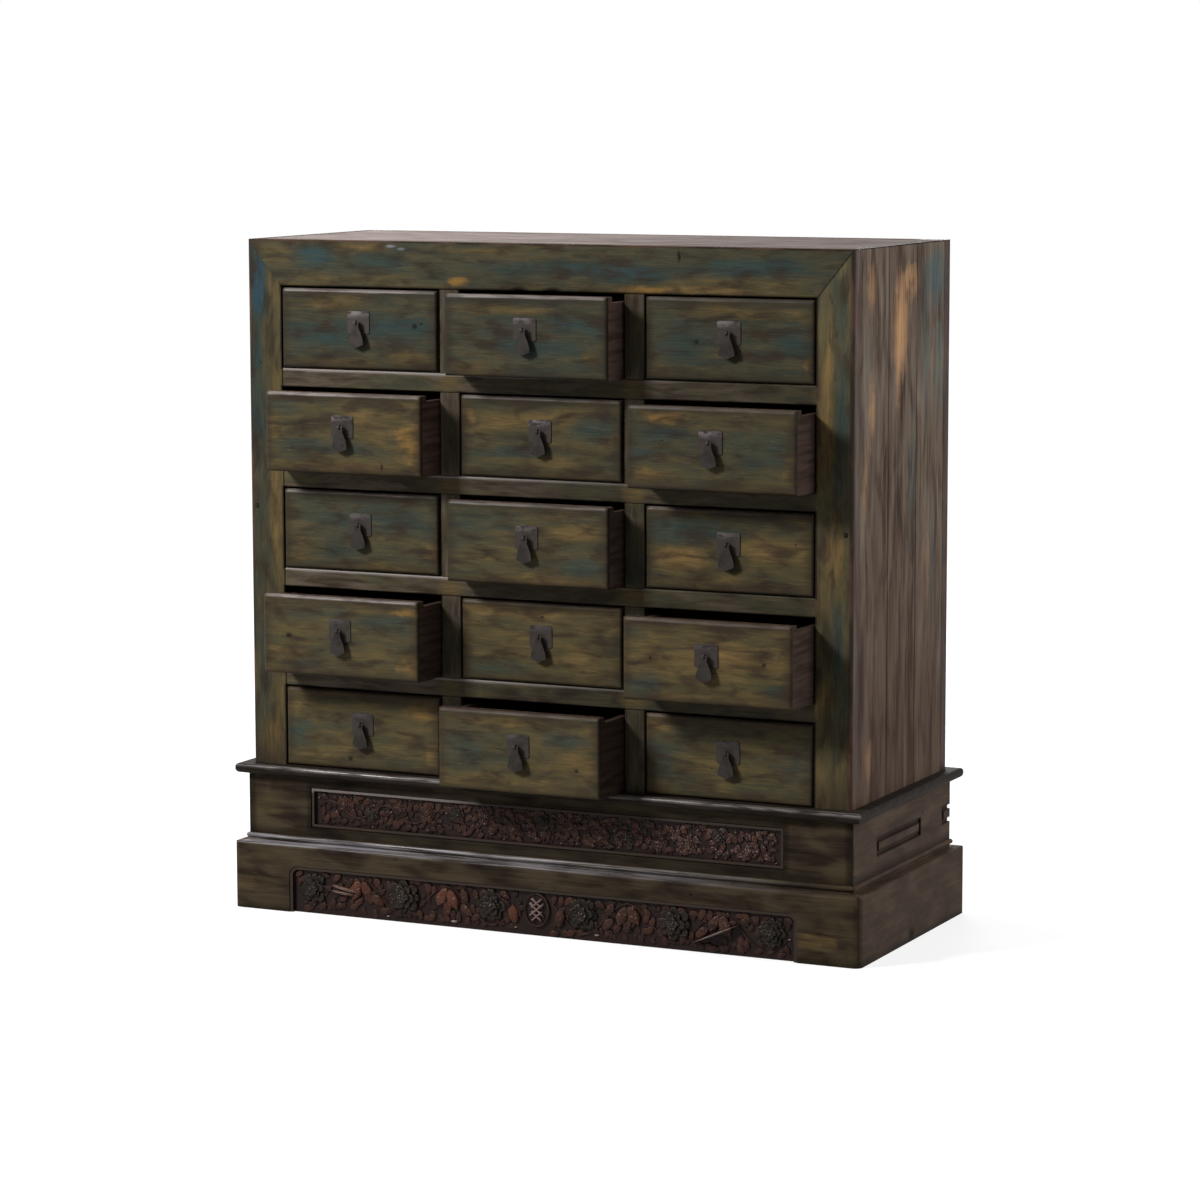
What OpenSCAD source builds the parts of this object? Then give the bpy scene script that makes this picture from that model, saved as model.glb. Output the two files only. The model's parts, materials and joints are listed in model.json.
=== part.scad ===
/* [Case] */
// Width of the case across its front posts
case_w = 1000; // [900:10:1100]
// Depth of the case from front posts to back posts
case_d = 390; // [350:5:440]
// Height of the whole cabinet above the floor
cabinet_h = 1040; // [980:10:1120]
// Width of a front post, seen from the front
post_w = 58; // [50:1:75]
// Thickness of the front frame: posts, rails and uprights
frame_t = 27; // [22:1:34]
// Height of the top rail of the front frame
top_rail_h = 71; // [60:1:90]
// Height of a rail between two rows of drawers
rail_h = 29; // [24:1:38]
// Width of an upright between two columns of drawers
upright_w = 34; // [30:1:48]
// How far rails and uprights stand back from the face of the posts
rail_setback = 1.5; // [0.5:0.5:3]
// Radius on the front corners of the case
corner_r = 5; // [3:0.5:8]
// Radius worn on the front edges of rails and uprights
worn_r = 2.5; // [1:0.5:4]
// Radius on the outer edges of a side plank
plank_edge_r = 1; // [0.5:0.5:2]
// Thickness of a side plank
side_t = 16; // [14:1:20]
// Thickness of the top boards
top_t = 18; // [15:1:22]
// Thickness of a drawer shelf
shelf_t = 16; // [14:1:20]
// Thickness of an upright divider behind the front frame
divider_t = 14; // [12:1:18]
// Height of a guide strip beside a drawer
guide_h = 16; // [12:1:20]
// Thickness of the back posts and back rails
back_post_t = 22; // [20:1:28]
// Width of a back post
back_post_w = 50; // [44:1:60]
// Height of a back rail
back_rail_h = 56; // [48:1:66]
// Thickness of a back board
back_board_t = 10; // [8:1:12]

/* [Joinery] */
// Gap left between two joined pieces of wood
joint_gap = 0.2; // [0.1:0.05:0.3]
// Thickness of a tenon in the front frame
tenon_t = 10; // [8:1:12]
// Length of a rail tenon
tenon_len = 28; // [20:1:36]
// Height of the shoulder above and below a rail tenon
tenon_shoulder = 6; // [4:1:9]
// Length of a stub tenon on a post or an upright
stub_len = 8; // [6:1:10]
// Depth of a tongue between two boards
tongue_d = 5; // [4:0.5:6]
// Thickness of a tongue between two boards
tongue_t = 5; // [4:0.5:6]
// Width of a dovetail where it leaves its board
tail_root = 15; // [12:1:18]
// Width of a dovetail at its end
tail_tip = 21; // [19:1:24]

/* [Drawers] */
// Gap on each side of a drawer front
drawer_side_gap = 2.2; // [0.6:0.1:4]
// Gap above a drawer front
drawer_top_gap = 2.5; // [0.8:0.1:4]
// Gap between a drawer and the shelf that it slides on
drawer_run_gap = 0.3; // [0.2:0.05:0.4]
// How far the lower edge of a drawer front is planed up
front_lift = 0.7; // [0.4:0.1:1.2]
// How far a shut drawer front stands proud of the posts
front_proud = 2; // [1:0.5:4]
// Thickness of a drawer front
front_t = 18; // [16:1:22]
// Radius round the edges of a drawer front
front_edge_r = 5; // [3:0.5:7]
// Thickness of a drawer side
drawer_side_t = 11; // [10:1:13]
// Thickness of a drawer back
drawer_back_t = 11; // [10:1:13]
// Thickness of a drawer bottom
drawer_bottom_t = 6; // [5:0.5:8]
// Height of the drawer bottom above the lower edge of the sides
bottom_rise = 6; // [5:0.5:7]
// Depth of the grooves that hold the drawer bottom
groove_d = 4; // [3:0.5:5]
// How far the drawer sides stay below the top of the front
side_drop = 9; // [6:1:12]
// Wood left in front of the dovetails of a drawer front
dovetail_lap = 6; // [5:0.5:8]
// Room left behind a shut drawer
drawer_stop_gap = 1; // [0.5:0.5:3]
// How far the middle drawer of the top row is pulled out
pull_out_r1c2 = 50; // [30:1:120]
// How far the left drawer of the second row is pulled out
pull_out_r2c1 = 54; // [30:1:120]
// How far the right drawer of the second row is pulled out
pull_out_r2c3 = 66; // [30:1:120]
// How far the middle drawer of the third row is pulled out
pull_out_r3c2 = 47; // [30:1:120]
// How far the left drawer of the fourth row is pulled out
pull_out_r4c1 = 68; // [30:1:120]
// How far the right drawer of the fourth row is pulled out
pull_out_r4c3 = 80; // [30:1:120]
// How far the middle drawer of the bottom row is pulled out
pull_out_r5c2 = 79; // [30:1:120]

/* [Ironwork] */
// Width of a pull's backing plate
plate_w = 37; // [32:1:44]
// Height of a pull's backing plate
plate_h = 34; // [30:1:40]
// Thickness of a pull's backing plate
plate_t = 1.4; // [1:0.1:2]
// Radius on the corners of the backing plate
plate_corner_r = 3; // [1:0.5:5]
// Height of the eye above the middle of the drawer front
eye_rise = 11; // [6:1:16]
// Distance of the eye's centre from the drawer front
eye_reach = 8.5; // [8:0.5:11]
// Radius of the wire that the split pin is bent from
wire_r = 1.2; // [1:0.1:1.4]
// Radius of the cross bar that the drop hangs by
bar_r = 1.5; // [1.2:0.1:1.8]
// Clearance of the cross bar in the eye
bar_clear = 0.08; // [0.03:0.01:0.1]
// Length of the drop below its cross bar
drop_len = 38; // [32:1:44]
// Width of the drop across its lower end
drop_w = 25; // [20:1:30]
// Width of the drop's neck
neck_w = 9.6; // [9:0.2:12]
// Thickness of the drop
drop_t = 3; // [2.5:0.1:3.5]
// Height of the point at the foot of the drop
drop_point = 5; // [3:0.5:8]
// Width of the slot in the neck, round the eye
slot_w = 3.4; // [3.2:0.1:4]
// Thickness of a leg of the split pin, flattened inside the drawer
leg_t = 1.2; // [0.8:0.1:1.5]
// Length of a leg of the split pin, bent over inside the drawer
pin_leg = 12; // [8:1:16]

/* [Base] */
// Height of the top of the ledge above the floor
ledge_top = 227; // [200:1:250]
// Thickness of the ledge
ledge_t = 15; // [12:1:18]
// How far the ledge stands out past the case
ledge_out = 22; // [16:1:28]
// Width of a ledge board
ledge_w = 72; // [64:1:84]
// Radius on the lower edge of the ledge
ledge_low_r = 7; // [5:0.5:9]
// Radius on the upper edge of the ledge
ledge_high_r = 5; // [3:0.5:6]
// How far the waist stands out past the case
waist_out = 6; // [4:0.5:9]
// Thickness of the waist boards
waist_t = 20; // [17:1:24]
// Height of the plinth, up to the waist
plinth_h = 117; // [105:1:130]
// How far the plinth stands out past the case
plinth_out = 25; // [14:1:30]
// Thickness of the plinth boards
plinth_t = 36; // [26:1:42]
// Height of the plinth's shoulder above the floor
shoulder_z = 105; // [95:1:108]
// Radius of the plinth's shoulder
shoulder_r = 5; // [3:0.5:7]
// Radius of the bead above the plinth's shoulder
bead_r = 4; // [3:0.5:5]
// Radius on the upright corners of the plinth
plinth_corner_r = 12; // [8:1:16]
// Thickness of the board under the middle of the base
bearer_t = 26; // [20:1:34]

/* [Carved panels] */
// Width of the waist's carved panel
waist_panel_w = 794; // [760:2:810]
// Height of the waist's carved panel
waist_panel_h = 63; // [56:1:66]
// Height of the waist's carved panel above the plinth
waist_panel_rise = 15; // [12:1:18]
// Width of the plinth's carved panel
plinth_panel_w = 852; // [800:2:880]
// Height of the plinth's carved panel
plinth_panel_h = 73; // [64:1:80]
// Radius on the upper corners of the plinth's carved panel
panel_corner_r = 15; // [10:1:20]
// How far the carved panels stand back from their frames
panel_setback = 1.5; // [1:0.5:3]
// Width of the bead round a carved panel
panel_bead_w = 5; // [4:0.5:7]
// Depth of the ground of a carved panel below its bead
ground_depth = 6; // [4:0.5:8]
// Thickness of the waist's carved panel
waist_panel_t = 15; // [13:1:17]
// Length of the sunk ring on the side of the waist
ring_len = 181; // [160:1:190]
// Height of the sunk ring on the side of the waist
ring_h = 27; // [22:1:32]
// Distance of the sunk ring from the front of the case
ring_start = 89; // [80:1:100]
// Plain length between one sunk ring and the next
ring_space = 92; // [80:1:96]
// Height of the sunk ring above the plinth
ring_rise = 28; // [20:1:36]
// Width of the groove of a sunk ring
ring_groove = 7; // [5:0.5:9]
// Depth of the groove of a sunk ring
ring_depth = 4; // [3:0.5:5]

/* [Hidden] */
$fn = 48;
rows = 5;
cols = 3;
planks = 3;
back_boards = 5;
part_names = [
    "corner_posts", "frame_rails", "drawer_rails", "uprights", "side_panels",
    "back_panel", "drawer_shelves", "dividers", "drawer_guides", "top_boards",
    "ledge_frame", "waist_frame", "waist_carving", "plinth_frame", "plinth_carving"
];
drawer_names = [for (r = [1:rows], c = [1:cols]) str("drawer_r", r, "c", c)];
plate_names = [for (r = [1:rows], c = [1:cols]) str("plate_r", r, "c", c)];
pull_names = [for (r = [1:rows], c = [1:cols]) str("pull_r", r, "c", c)];

teal = [0.20, 0.30, 0.29];
olive = [0.33, 0.31, 0.20];
bare_wood = [0.55, 0.49, 0.46];
dark_wood = [0.23, 0.18, 0.17];
carved_wood = [0.36, 0.20, 0.15];
iron = [0.22, 0.20, 0.21];

pull_out = [
    [0, pull_out_r1c2, 0],
    [pull_out_r2c1, 0, pull_out_r2c3],
    [0, pull_out_r3c2, 0],
    [pull_out_r4c1, 0, pull_out_r4c3],
    [0, pull_out_r5c2, 0]
];

over = 1;
front_y = -case_d / 2;
back_y = case_d / 2;
frame_back_y = front_y + frame_t;
back_face_y = back_y - back_post_t;
rail_front_y = front_y + rail_setback;
opening_w = (case_w - 2 * post_w - (cols - 1) * upright_w) / cols;
top_rail_z = cabinet_h - top_rail_h;
opening_h = (top_rail_z - ledge_top - (rows - 1) * rail_h) / rows;
pitch_x = opening_w + upright_w;
pitch_z = opening_h + rail_h;
post_inner_x = case_w / 2 - post_w;
side_inner_x = case_w / 2 - side_t;
side_mid_x = case_w / 2 - side_t / 2;
back_post_x = case_w / 2 - back_post_w;
top_under_z = cabinet_h - top_t;
tenon_y = [front_y + (frame_t - tenon_t) / 2, front_y + (frame_t + tenon_t) / 2];
back_tenon_y = [back_y - (back_post_t + tenon_t) / 2, back_y - (back_post_t - tenon_t) / 2];
back_board_y = [back_y - (back_post_t + back_board_t) / 2, back_y - (back_post_t - back_board_t) / 2];
guide_w = (upright_w - divider_t) / 2 - joint_gap;
plank_w = (back_face_y - frame_back_y) / planks;
top_board_w = (back_face_y - frame_back_y) / planks;
back_board_w = 2 * back_post_x / back_boards;

function col_x(c) = (c - (cols + 1) / 2) * pitch_x;
function row_z(r) = ledge_top + (rows - r) * pitch_z;
function upright_x(i) = (i - cols / 2) * pitch_x;
function ceiling_z(r) = r == 1 ? top_under_z : row_z(r - 1) - shelf_t;

drawer_w = opening_w - 2 * drawer_side_gap;
drawer_front_h = opening_h - drawer_top_gap - front_lift - drawer_run_gap;
drawer_side_h = front_lift + drawer_front_h - side_drop;
drawer_len = back_face_y - drawer_stop_gap - front_y + front_proud;
drawer_inner_x = drawer_w / 2 - drawer_side_t;
bottom_top = bottom_rise + drawer_bottom_t;
tail_count = 3;
tail_pitch = (drawer_side_h - bottom_top) / tail_count;
eye_z = front_lift + drawer_front_h / 2 + eye_rise;
eye_bore_r = bar_r + bar_clear;
eye_ring_r = eye_bore_r + wire_r;
pin_hole_r = wire_r + joint_gap;
slot_depth = eye_ring_r + wire_r + 2 * joint_gap;
neck_len = slot_depth + drop_t;
flare_steps = 8;

waist_top = ledge_top - ledge_t;
ledge_box = [case_w + 2 * ledge_out, case_d + 2 * ledge_out];
waist_box = [case_w + 2 * waist_out, case_d + 2 * waist_out];
plinth_box = [case_w + 2 * plinth_out, case_d + 2 * plinth_out];
waist_face_y = -waist_box.y / 2;
plinth_face_y = -plinth_box.y / 2;
well = ledge_box / 2 - [ledge_w, ledge_w];
waist_panel_z = plinth_h + waist_panel_rise;
shoulder_in = plinth_out - waist_out;

module block(lo, hi) {
    translate(lo) cube(hi - lo);
}

// A mortise or groove: the block of its tenon or tongue with the joint gap all round
module mortise(lo, hi) {
    block(lo - joint_gap * [1, 1, 1], hi + joint_gap * [1, 1, 1]);
}

module both_sides() {
    children();
    mirror([1, 0, 0]) children();
}

// A flat outline in depth and height, drawn out along X about the middle
module along_x(len) {
    translate([-len / 2, 0, 0]) rotate([90, 0, 90]) linear_extrude(len) children();
}

// A flat outline in width and height, drawn out backwards from y = 0
module along_y(len) {
    translate([0, len, 0]) rotate([90, 0, 0]) linear_extrude(len) children();
}

// An outline w wide and t deep with its two front corners rounded
module eased_outline(w, t, r) {
    translate([-w / 2, r]) square([w, t - r]);
    translate([r - w / 2, 0]) square([w - 2 * r, 2 * r]);
    for (s = [-1, 1]) translate([s * (w / 2 - r), r]) circle(r);
}

// A board standing on z = 0 with its face at y = 0 and the four edges of that face rounded
module eased_board(w, t, h, r) {
    intersection() {
        linear_extrude(h) eased_outline(w, t, r);
        along_x(w + 2 * over) translate([0, h / 2]) rotate(-90) eased_outline(h, t, r);
    }
}

// One side of a mitred frame, its outer face at y = 0, from an outline of depth and height
module mitred_side(len, depth) {
    reach = len / 2 - joint_gap / sqrt(2);
    intersection() {
        along_x(len) children();
        translate([0, 0, -over]) linear_extrude(cabinet_h)
            polygon([[-reach, 0], [reach, 0], [reach - depth, depth], [depth - reach, depth]]);
    }
}

module mitred_frame(size, depth) {
    for (turn = [0, 180]) rotate(turn) translate([0, -size.y / 2, 0]) mitred_side(size.x, depth) children();
    for (turn = [90, 270]) rotate(turn) translate([0, -size.x / 2, 0]) mitred_side(size.y, depth) children();
}

// Everything above the mitre between the right post and the top rail, moved up by a little
module above_mitre(rise) {
    slope = top_rail_h / post_w;
    translate([0, front_y - over, rise]) along_y(frame_t + 2 * over) polygon([
        [post_inner_x - over, top_rail_z - over * slope],
        [case_w / 2 + over, cabinet_h + over * slope],
        [post_inner_x - over, cabinet_h + over * slope]
    ]);
}

module below_mitre(rise) {
    slope = top_rail_h / post_w;
    translate([0, front_y - over, rise]) along_y(frame_t + 2 * over) polygon([
        [post_inner_x - over, top_rail_z - over * slope],
        [case_w / 2 + over, cabinet_h + over * slope],
        [case_w / 2 + over, top_rail_z - over * slope]
    ]);
}

// The tongue of the top rail that passes into the slot at the head of the right post
function head_tongue() = [
    [post_inner_x - over, tenon_y[0], top_rail_z + stub_len],
    [case_w / 2 - stub_len, tenon_y[1], cabinet_h - stub_len]
];

// The tenon of the drawer rail under row r in the right post
function rail_tenon(r) = [
    [post_inner_x - over, tenon_y[0], row_z(r) - rail_h + tenon_shoulder],
    [post_inner_x + tenon_len, tenon_y[1], row_z(r) - tenon_shoulder]
];

// The stub tenon across the joint at height z, under or over a post or an upright that stands at x
function stub(x, w, y, z) = [[x - w / 4, y[0], z - stub_len], [x + w / 4, y[1], z + stub_len]];

// Stub tenons that stand in the ledge: the right posts, and the uprights of the bottom row
front_post_stub = stub(post_inner_x + post_w / 2, post_w, tenon_y, ledge_top);
back_post_stub = stub(back_post_x + back_post_w / 2, back_post_w, back_tenon_y, ledge_top);

// The upper and lower stub tenons of upright i in row r
function upright_stubs(r, i) = [
    stub(upright_x(i), upright_w, tenon_y, row_z(r)),
    stub(upright_x(i), upright_w, tenon_y, row_z(r) + opening_h)
];

// The tenon of a back rail in the right back post, for a rail whose lower edge is at z
function back_tenon(z) = [
    [back_post_x - over, back_tenon_y[0], z + tenon_shoulder],
    [back_post_x + tenon_len, back_tenon_y[1], z + back_rail_h - tenon_shoulder]
];
back_rail_z = [ledge_top + joint_gap, cabinet_h - back_rail_h];

module peg(b) {
    block(b[0], b[1]);
}

module socket(b) {
    mortise(b[0], b[1]);
}

// A post in plan, from its inner edge at x = 0, with the outer front corner rounded
module post_outline() {
    square([post_w - corner_r, frame_t]);
    translate([post_w - corner_r, corner_r]) square([corner_r, frame_t - corner_r]);
    translate([post_w - corner_r, corner_r]) circle(corner_r);
}

// The groove for the foremost plank of the right side, in the post and in the end of the top rail
module plank_groove() {
    mortise(
        [side_mid_x - tongue_t / 2, frame_back_y - tongue_d, ledge_top - stub_len],
        [side_mid_x + tongue_t / 2, frame_back_y + over, cabinet_h + over]
    );
}

module front_post() {
    foot = ledge_top + joint_gap;
    difference() {
        union() {
            translate([post_inner_x, front_y, foot]) linear_extrude(cabinet_h - foot) post_outline();
            peg(front_post_stub);
        }
        above_mitre(-joint_gap / 2);
        socket(head_tongue());
        for (r = [1:rows - 1]) socket(rail_tenon(r));
        plank_groove();
    }
}

module back_post() {
    foot = ledge_top + joint_gap;
    difference() {
        union() {
            block([back_post_x, back_face_y, foot], [case_w / 2, back_y, cabinet_h]);
            block(
                [side_mid_x - tongue_t / 2, back_face_y - tongue_d, foot],
                [side_mid_x + tongue_t / 2, back_face_y + over, cabinet_h]
            );
            peg(back_post_stub);
        }
        for (z = back_rail_z) socket(back_tenon(z));
        mortise(
            [back_post_x - over, back_board_y[0], ledge_top - stub_len],
            [back_post_x + tongue_d, back_board_y[1], cabinet_h + over]
        );
    }
}

module corner_posts() {
    color(teal) both_sides() {
        front_post();
        back_post();
    }
}

module front_top_rail() {
    difference() {
        union() {
            difference() {
                translate([0, front_y, top_rail_z]) intersection() {
                    eased_board(case_w, frame_t, 2 * top_rail_h, corner_r);
                    translate([-case_w / 2, 0, 0]) cube([case_w, frame_t, top_rail_h]);
                }
                both_sides() below_mitre(joint_gap / 2);
            }
            both_sides() peg(head_tongue());
        }
        for (i = [1:cols - 1]) socket(upright_stubs(1, i)[1]);
        both_sides() plank_groove();
        mortise(
            [-side_inner_x, frame_back_y - tongue_d, cabinet_h - top_t / 2 - tongue_t / 2],
            [side_inner_x, frame_back_y + over, cabinet_h - top_t / 2 + tongue_t / 2]
        );
    }
}

// A back rail with its lower edge at z; the boards enter the edge that faces the middle of the back
module back_rail(z, groove_z) {
    reach = back_post_x - joint_gap;
    difference() {
        union() {
            block([-reach, back_face_y, z], [reach, back_y, z + back_rail_h]);
            both_sides() peg(back_tenon(z));
        }
        mortise(
            [-case_w, back_board_y[0], groove_z - tongue_d],
            [case_w, back_board_y[1], groove_z + tongue_d]
        );
    }
}

module frame_rails() {
    color(teal) {
        front_top_rail();
        back_rail(back_rail_z[0], back_rail_z[0] + back_rail_h);
        back_rail(back_rail_z[1], back_rail_z[1]);
    }
}

// The rail under the drawers of row r
module drawer_rail(r) {
    reach = post_inner_x - joint_gap;
    difference() {
        union() {
            translate([0, rail_front_y, row_z(r) - rail_h / 2])
                along_x(2 * reach) rotate(-90) eased_outline(rail_h, frame_t - rail_setback, worn_r);
            both_sides() peg(rail_tenon(r));
        }
        for (i = [1:cols - 1]) {
            socket(upright_stubs(r, i)[0]);
            socket(upright_stubs(r + 1, i)[1]);
        }
        mortise(
            [-case_w, frame_back_y - tongue_d, row_z(r) - shelf_t / 2 - tongue_t / 2],
            [case_w, frame_back_y + over, row_z(r) - shelf_t / 2 + tongue_t / 2]
        );
    }
}

module drawer_rails() {
    color(olive) for (r = [1:rows - 1]) drawer_rail(r);
}

module upright(r, i) {
    translate([upright_x(i), rail_front_y, row_z(r) + joint_gap])
        linear_extrude(opening_h - 2 * joint_gap) eased_outline(upright_w, frame_t - rail_setback, worn_r);
    for (b = upright_stubs(r, i)) peg(b);
}

module uprights() {
    color(olive) for (r = [1:rows], i = [1:cols - 1]) upright(r, i);
}

// Plank k of the right side: a tongue on its front edge, a groove in its back edge
module side_plank(k) {
    y0 = frame_back_y + k * plank_w + joint_gap / 2;
    y1 = frame_back_y + (k + 1) * plank_w - joint_gap / 2;
    foot = ledge_top + joint_gap;
    tongue_x = [side_mid_x - tongue_t / 2, side_mid_x + tongue_t / 2];
    difference() {
        union() {
            translate([case_w / 2, (y0 + y1) / 2, foot]) rotate(90)
                linear_extrude(cabinet_h - foot) eased_outline(y1 - y0, side_t, plank_edge_r);
            block([tongue_x[0], y0 - tongue_d, foot], [tongue_x[1], y0 + over, cabinet_h]);
        }
        mortise([tongue_x[0], y1 - tongue_d, ledge_top - over], [tongue_x[1], y1 + over, cabinet_h + over]);
        for (r = [1:rows - 1]) mortise(
            [side_inner_x - over, frame_back_y, row_z(r) - shelf_t],
            [side_inner_x + tongue_d, back_face_y, row_z(r)]
        );
    }
}

module side_panels() {
    color(dark_wood) both_sides() for (k = [0:planks - 1]) side_plank(k);
}

module back_panel() {
    lo = back_rail_z[0] + back_rail_h - tongue_d;
    hi = back_rail_z[1] + tongue_d;
    color(bare_wood) for (k = [0:back_boards - 1]) {
        x0 = k * back_board_w - back_post_x - (k == 0 ? tongue_d : -joint_gap);
        x1 = (k + 1) * back_board_w - back_post_x + (k == back_boards - 1 ? tongue_d : 0);
        block([x0, back_board_y[0], lo], [x1, back_board_y[1], hi]);
    }
}

// The shelf behind the rail under row r, let into the side planks and the rail
module drawer_shelf(r) {
    reach = side_inner_x + tongue_d;
    mid = row_z(r) - shelf_t / 2;
    block(
        [-reach, frame_back_y + joint_gap, row_z(r) - shelf_t],
        [reach, back_face_y - joint_gap, row_z(r)]
    );
    block(
        [joint_gap - post_inner_x, frame_back_y - tongue_d, mid - tongue_t / 2],
        [post_inner_x - joint_gap, frame_back_y + over, mid + tongue_t / 2]
    );
}

// The board that floats in the ledge frame and carries the bottom row
module floor_board() {
    mid = ledge_top - ledge_t / 2;
    reach = well - joint_gap * [1, 1];
    block([-reach.x, -reach.y, waist_top], [reach.x, reach.y, ledge_top]);
    block(
        [-reach.x - tongue_d, -reach.y - tongue_d, mid - tongue_t / 2],
        [reach.x + tongue_d, reach.y + tongue_d, mid + tongue_t / 2]
    );
}

module drawer_shelves() {
    color(dark_wood) {
        for (r = [1:rows - 1]) drawer_shelf(r);
        floor_board();
    }
}

module dividers() {
    color(dark_wood) for (r = [1:rows], i = [1:cols - 1]) block(
        [upright_x(i) - divider_t / 2, frame_back_y + joint_gap, row_z(r) + joint_gap],
        [upright_x(i) + divider_t / 2, back_face_y - joint_gap, ceiling_z(r) - joint_gap]
    );
}

// The strip that guides the right side of the drawer in row r, column c
module drawer_guide(r, c) {
    x0 = col_x(c) + opening_w / 2;
    block(
        [x0, frame_back_y + joint_gap, row_z(r) + joint_gap],
        [x0 + guide_w, back_face_y - joint_gap, row_z(r) + guide_h]
    );
}

module drawer_guides() {
    color(bare_wood) both_sides() for (r = [1:rows], c = [1:cols]) drawer_guide(r, c);
}

// Top board k: a tongue on its front edge, a groove in its back edge
module top_board(k) {
    y0 = frame_back_y + k * top_board_w + joint_gap;
    y1 = frame_back_y + (k + 1) * top_board_w - (k == planks - 1 ? joint_gap : 0);
    reach = side_inner_x - joint_gap;
    tongue_z = [cabinet_h - (top_t + tongue_t) / 2, cabinet_h - (top_t - tongue_t) / 2];
    difference() {
        union() {
            block([-reach, y0, top_under_z], [reach, y1, cabinet_h]);
            block([-reach, y0 - tongue_d, tongue_z[0]], [reach, y0 + over, tongue_z[1]]);
        }
        if (k < planks - 1) mortise([-case_w, y1 - tongue_d, tongue_z[0]], [case_w, y1 + over, tongue_z[1]]);
    }
}

module top_boards() {
    color(bare_wood) for (k = [0:planks - 1]) top_board(k);
}

// The ledge in outline: depth from its outer edge, height from its lower face
module ledge_outline() {
    difference() {
        square([ledge_w, ledge_t]);
        square(ledge_low_r);
        translate([0, ledge_t - ledge_high_r]) square(ledge_high_r);
    }
    translate([ledge_low_r, ledge_low_r]) circle(ledge_low_r);
    translate([ledge_high_r, ledge_t - ledge_high_r]) circle(ledge_high_r);
}

module ledge_frame() {
    mid = ledge_top - ledge_t / 2;
    reach = well + tongue_d * [1, 1];
    color(dark_wood) difference() {
        translate([0, 0, waist_top]) mitred_frame(ledge_box, ledge_w) ledge_outline();
        mortise([-reach.x, -reach.y, mid - tongue_t / 2], [reach.x, reach.y, mid + tongue_t / 2]);
        both_sides() {
            socket(front_post_stub);
            socket(back_post_stub);
        }
        for (i = [1:cols - 1]) socket(upright_stubs(rows, i)[0]);
    }
}

// A sunk ring on the outer face of the right waist board, len long from y0
module sunk_ring(y0) {
    z0 = plinth_h + ring_rise;
    x0 = waist_box.x / 2 - ring_depth;
    difference() {
        block([x0, y0, z0], [x0 + 2 * ring_depth, y0 + ring_len, z0 + ring_h]);
        block(
            [x0 - over, y0 + ring_groove, z0 + ring_groove],
            [x0 + 3 * ring_depth, y0 + ring_len - ring_groove, z0 + ring_h - ring_groove]
        );
    }
}

module waist_side() {
    difference() {
        block(
            [waist_box.x / 2 - waist_t, waist_face_y + waist_t + joint_gap, plinth_h + joint_gap],
            [waist_box.x / 2, waist_box.y / 2, waist_top - joint_gap]
        );
        for (k = [0, 1]) sunk_ring(front_y + ring_start + k * (ring_len + ring_space));
    }
}

// A strip over or under the waist's carved panel, tenoned into the end blocks
module waist_strip(z0, z1) {
    reach = waist_panel_w / 2 - joint_gap;
    block([-reach, waist_face_y, z0], [reach, waist_face_y + waist_t, z1]);
    peg(strip_tenon(z0, z1));
}

function strip_tenon(z0, z1) = [
    [-waist_panel_w / 2 - stub_len, waist_face_y + waist_t / 2, z0],
    [waist_panel_w / 2 + stub_len, waist_face_y + waist_t - ring_depth, z1]
];

module waist_frame() {
    foot = plinth_h + joint_gap;
    head = waist_top - joint_gap;
    low_strip = [foot, waist_panel_z];
    high_strip = [waist_panel_z + waist_panel_h, head];
    color(olive) {
        both_sides() {
            waist_side();
            difference() {
                block(
                    [waist_panel_w / 2, waist_face_y, foot],
                    [waist_box.x / 2, waist_face_y + waist_t, head]
                );
                socket(strip_tenon(low_strip[0], low_strip[1]));
                socket(strip_tenon(high_strip[0], high_strip[1]));
            }
        }
        waist_strip(low_strip[0], low_strip[1]);
        waist_strip(high_strip[0], high_strip[1]);
        block(
            [waist_t + joint_gap - waist_box.x / 2, waist_box.y / 2 - waist_t, foot],
            [waist_box.x / 2 - waist_t - joint_gap, waist_box.y / 2, head]
        );
    }
}

module waist_carving() {
    w = waist_panel_w - 2 * joint_gap;
    h = waist_panel_h - 2 * joint_gap;
    color(carved_wood) translate([0, waist_face_y + panel_setback, waist_panel_z + joint_gap]) difference() {
        eased_board(w, waist_panel_t, h, panel_bead_w / 2);
        block(
            [panel_bead_w - w / 2, -over, panel_bead_w],
            [w / 2 - panel_bead_w, ground_depth, h - panel_bead_w]
        );
    }
}

// The plinth in outline: depth from its outer face, height from the floor
module plinth_outline() {
    difference() {
        square([plinth_t, shoulder_z]);
        translate([0, shoulder_z - shoulder_r]) square(shoulder_r);
    }
    translate([shoulder_r, shoulder_z - shoulder_r]) circle(shoulder_r);
    translate([shoulder_in, shoulder_z - over])
        square([plinth_t - shoulder_in, plinth_h - shoulder_z + over]);
    translate([shoulder_in, plinth_h - bead_r]) circle(bead_r);
}

// The plinth in plan, with round corners
module plinth_plan() {
    r = plinth_corner_r;
    square([plinth_box.x, plinth_box.y - 2 * r], center = true);
    square([plinth_box.x - 2 * r, plinth_box.y], center = true);
    for (sx = [-1, 1], sy = [-1, 1])
        translate([sx * (plinth_box.x / 2 - r), sy * (plinth_box.y / 2 - r)]) circle(r);
}

// A carved panel that stands on the floor, in outline, with its upper corners rounded
module panel_outline(w, h, r) {
    translate([-w / 2, -over]) square([w, h - r + over]);
    translate([r - w / 2, -over]) square([w - 2 * r, h + over]);
    for (s = [-1, 1]) translate([s * (w / 2 - r), h - r]) circle(r);
}

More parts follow.
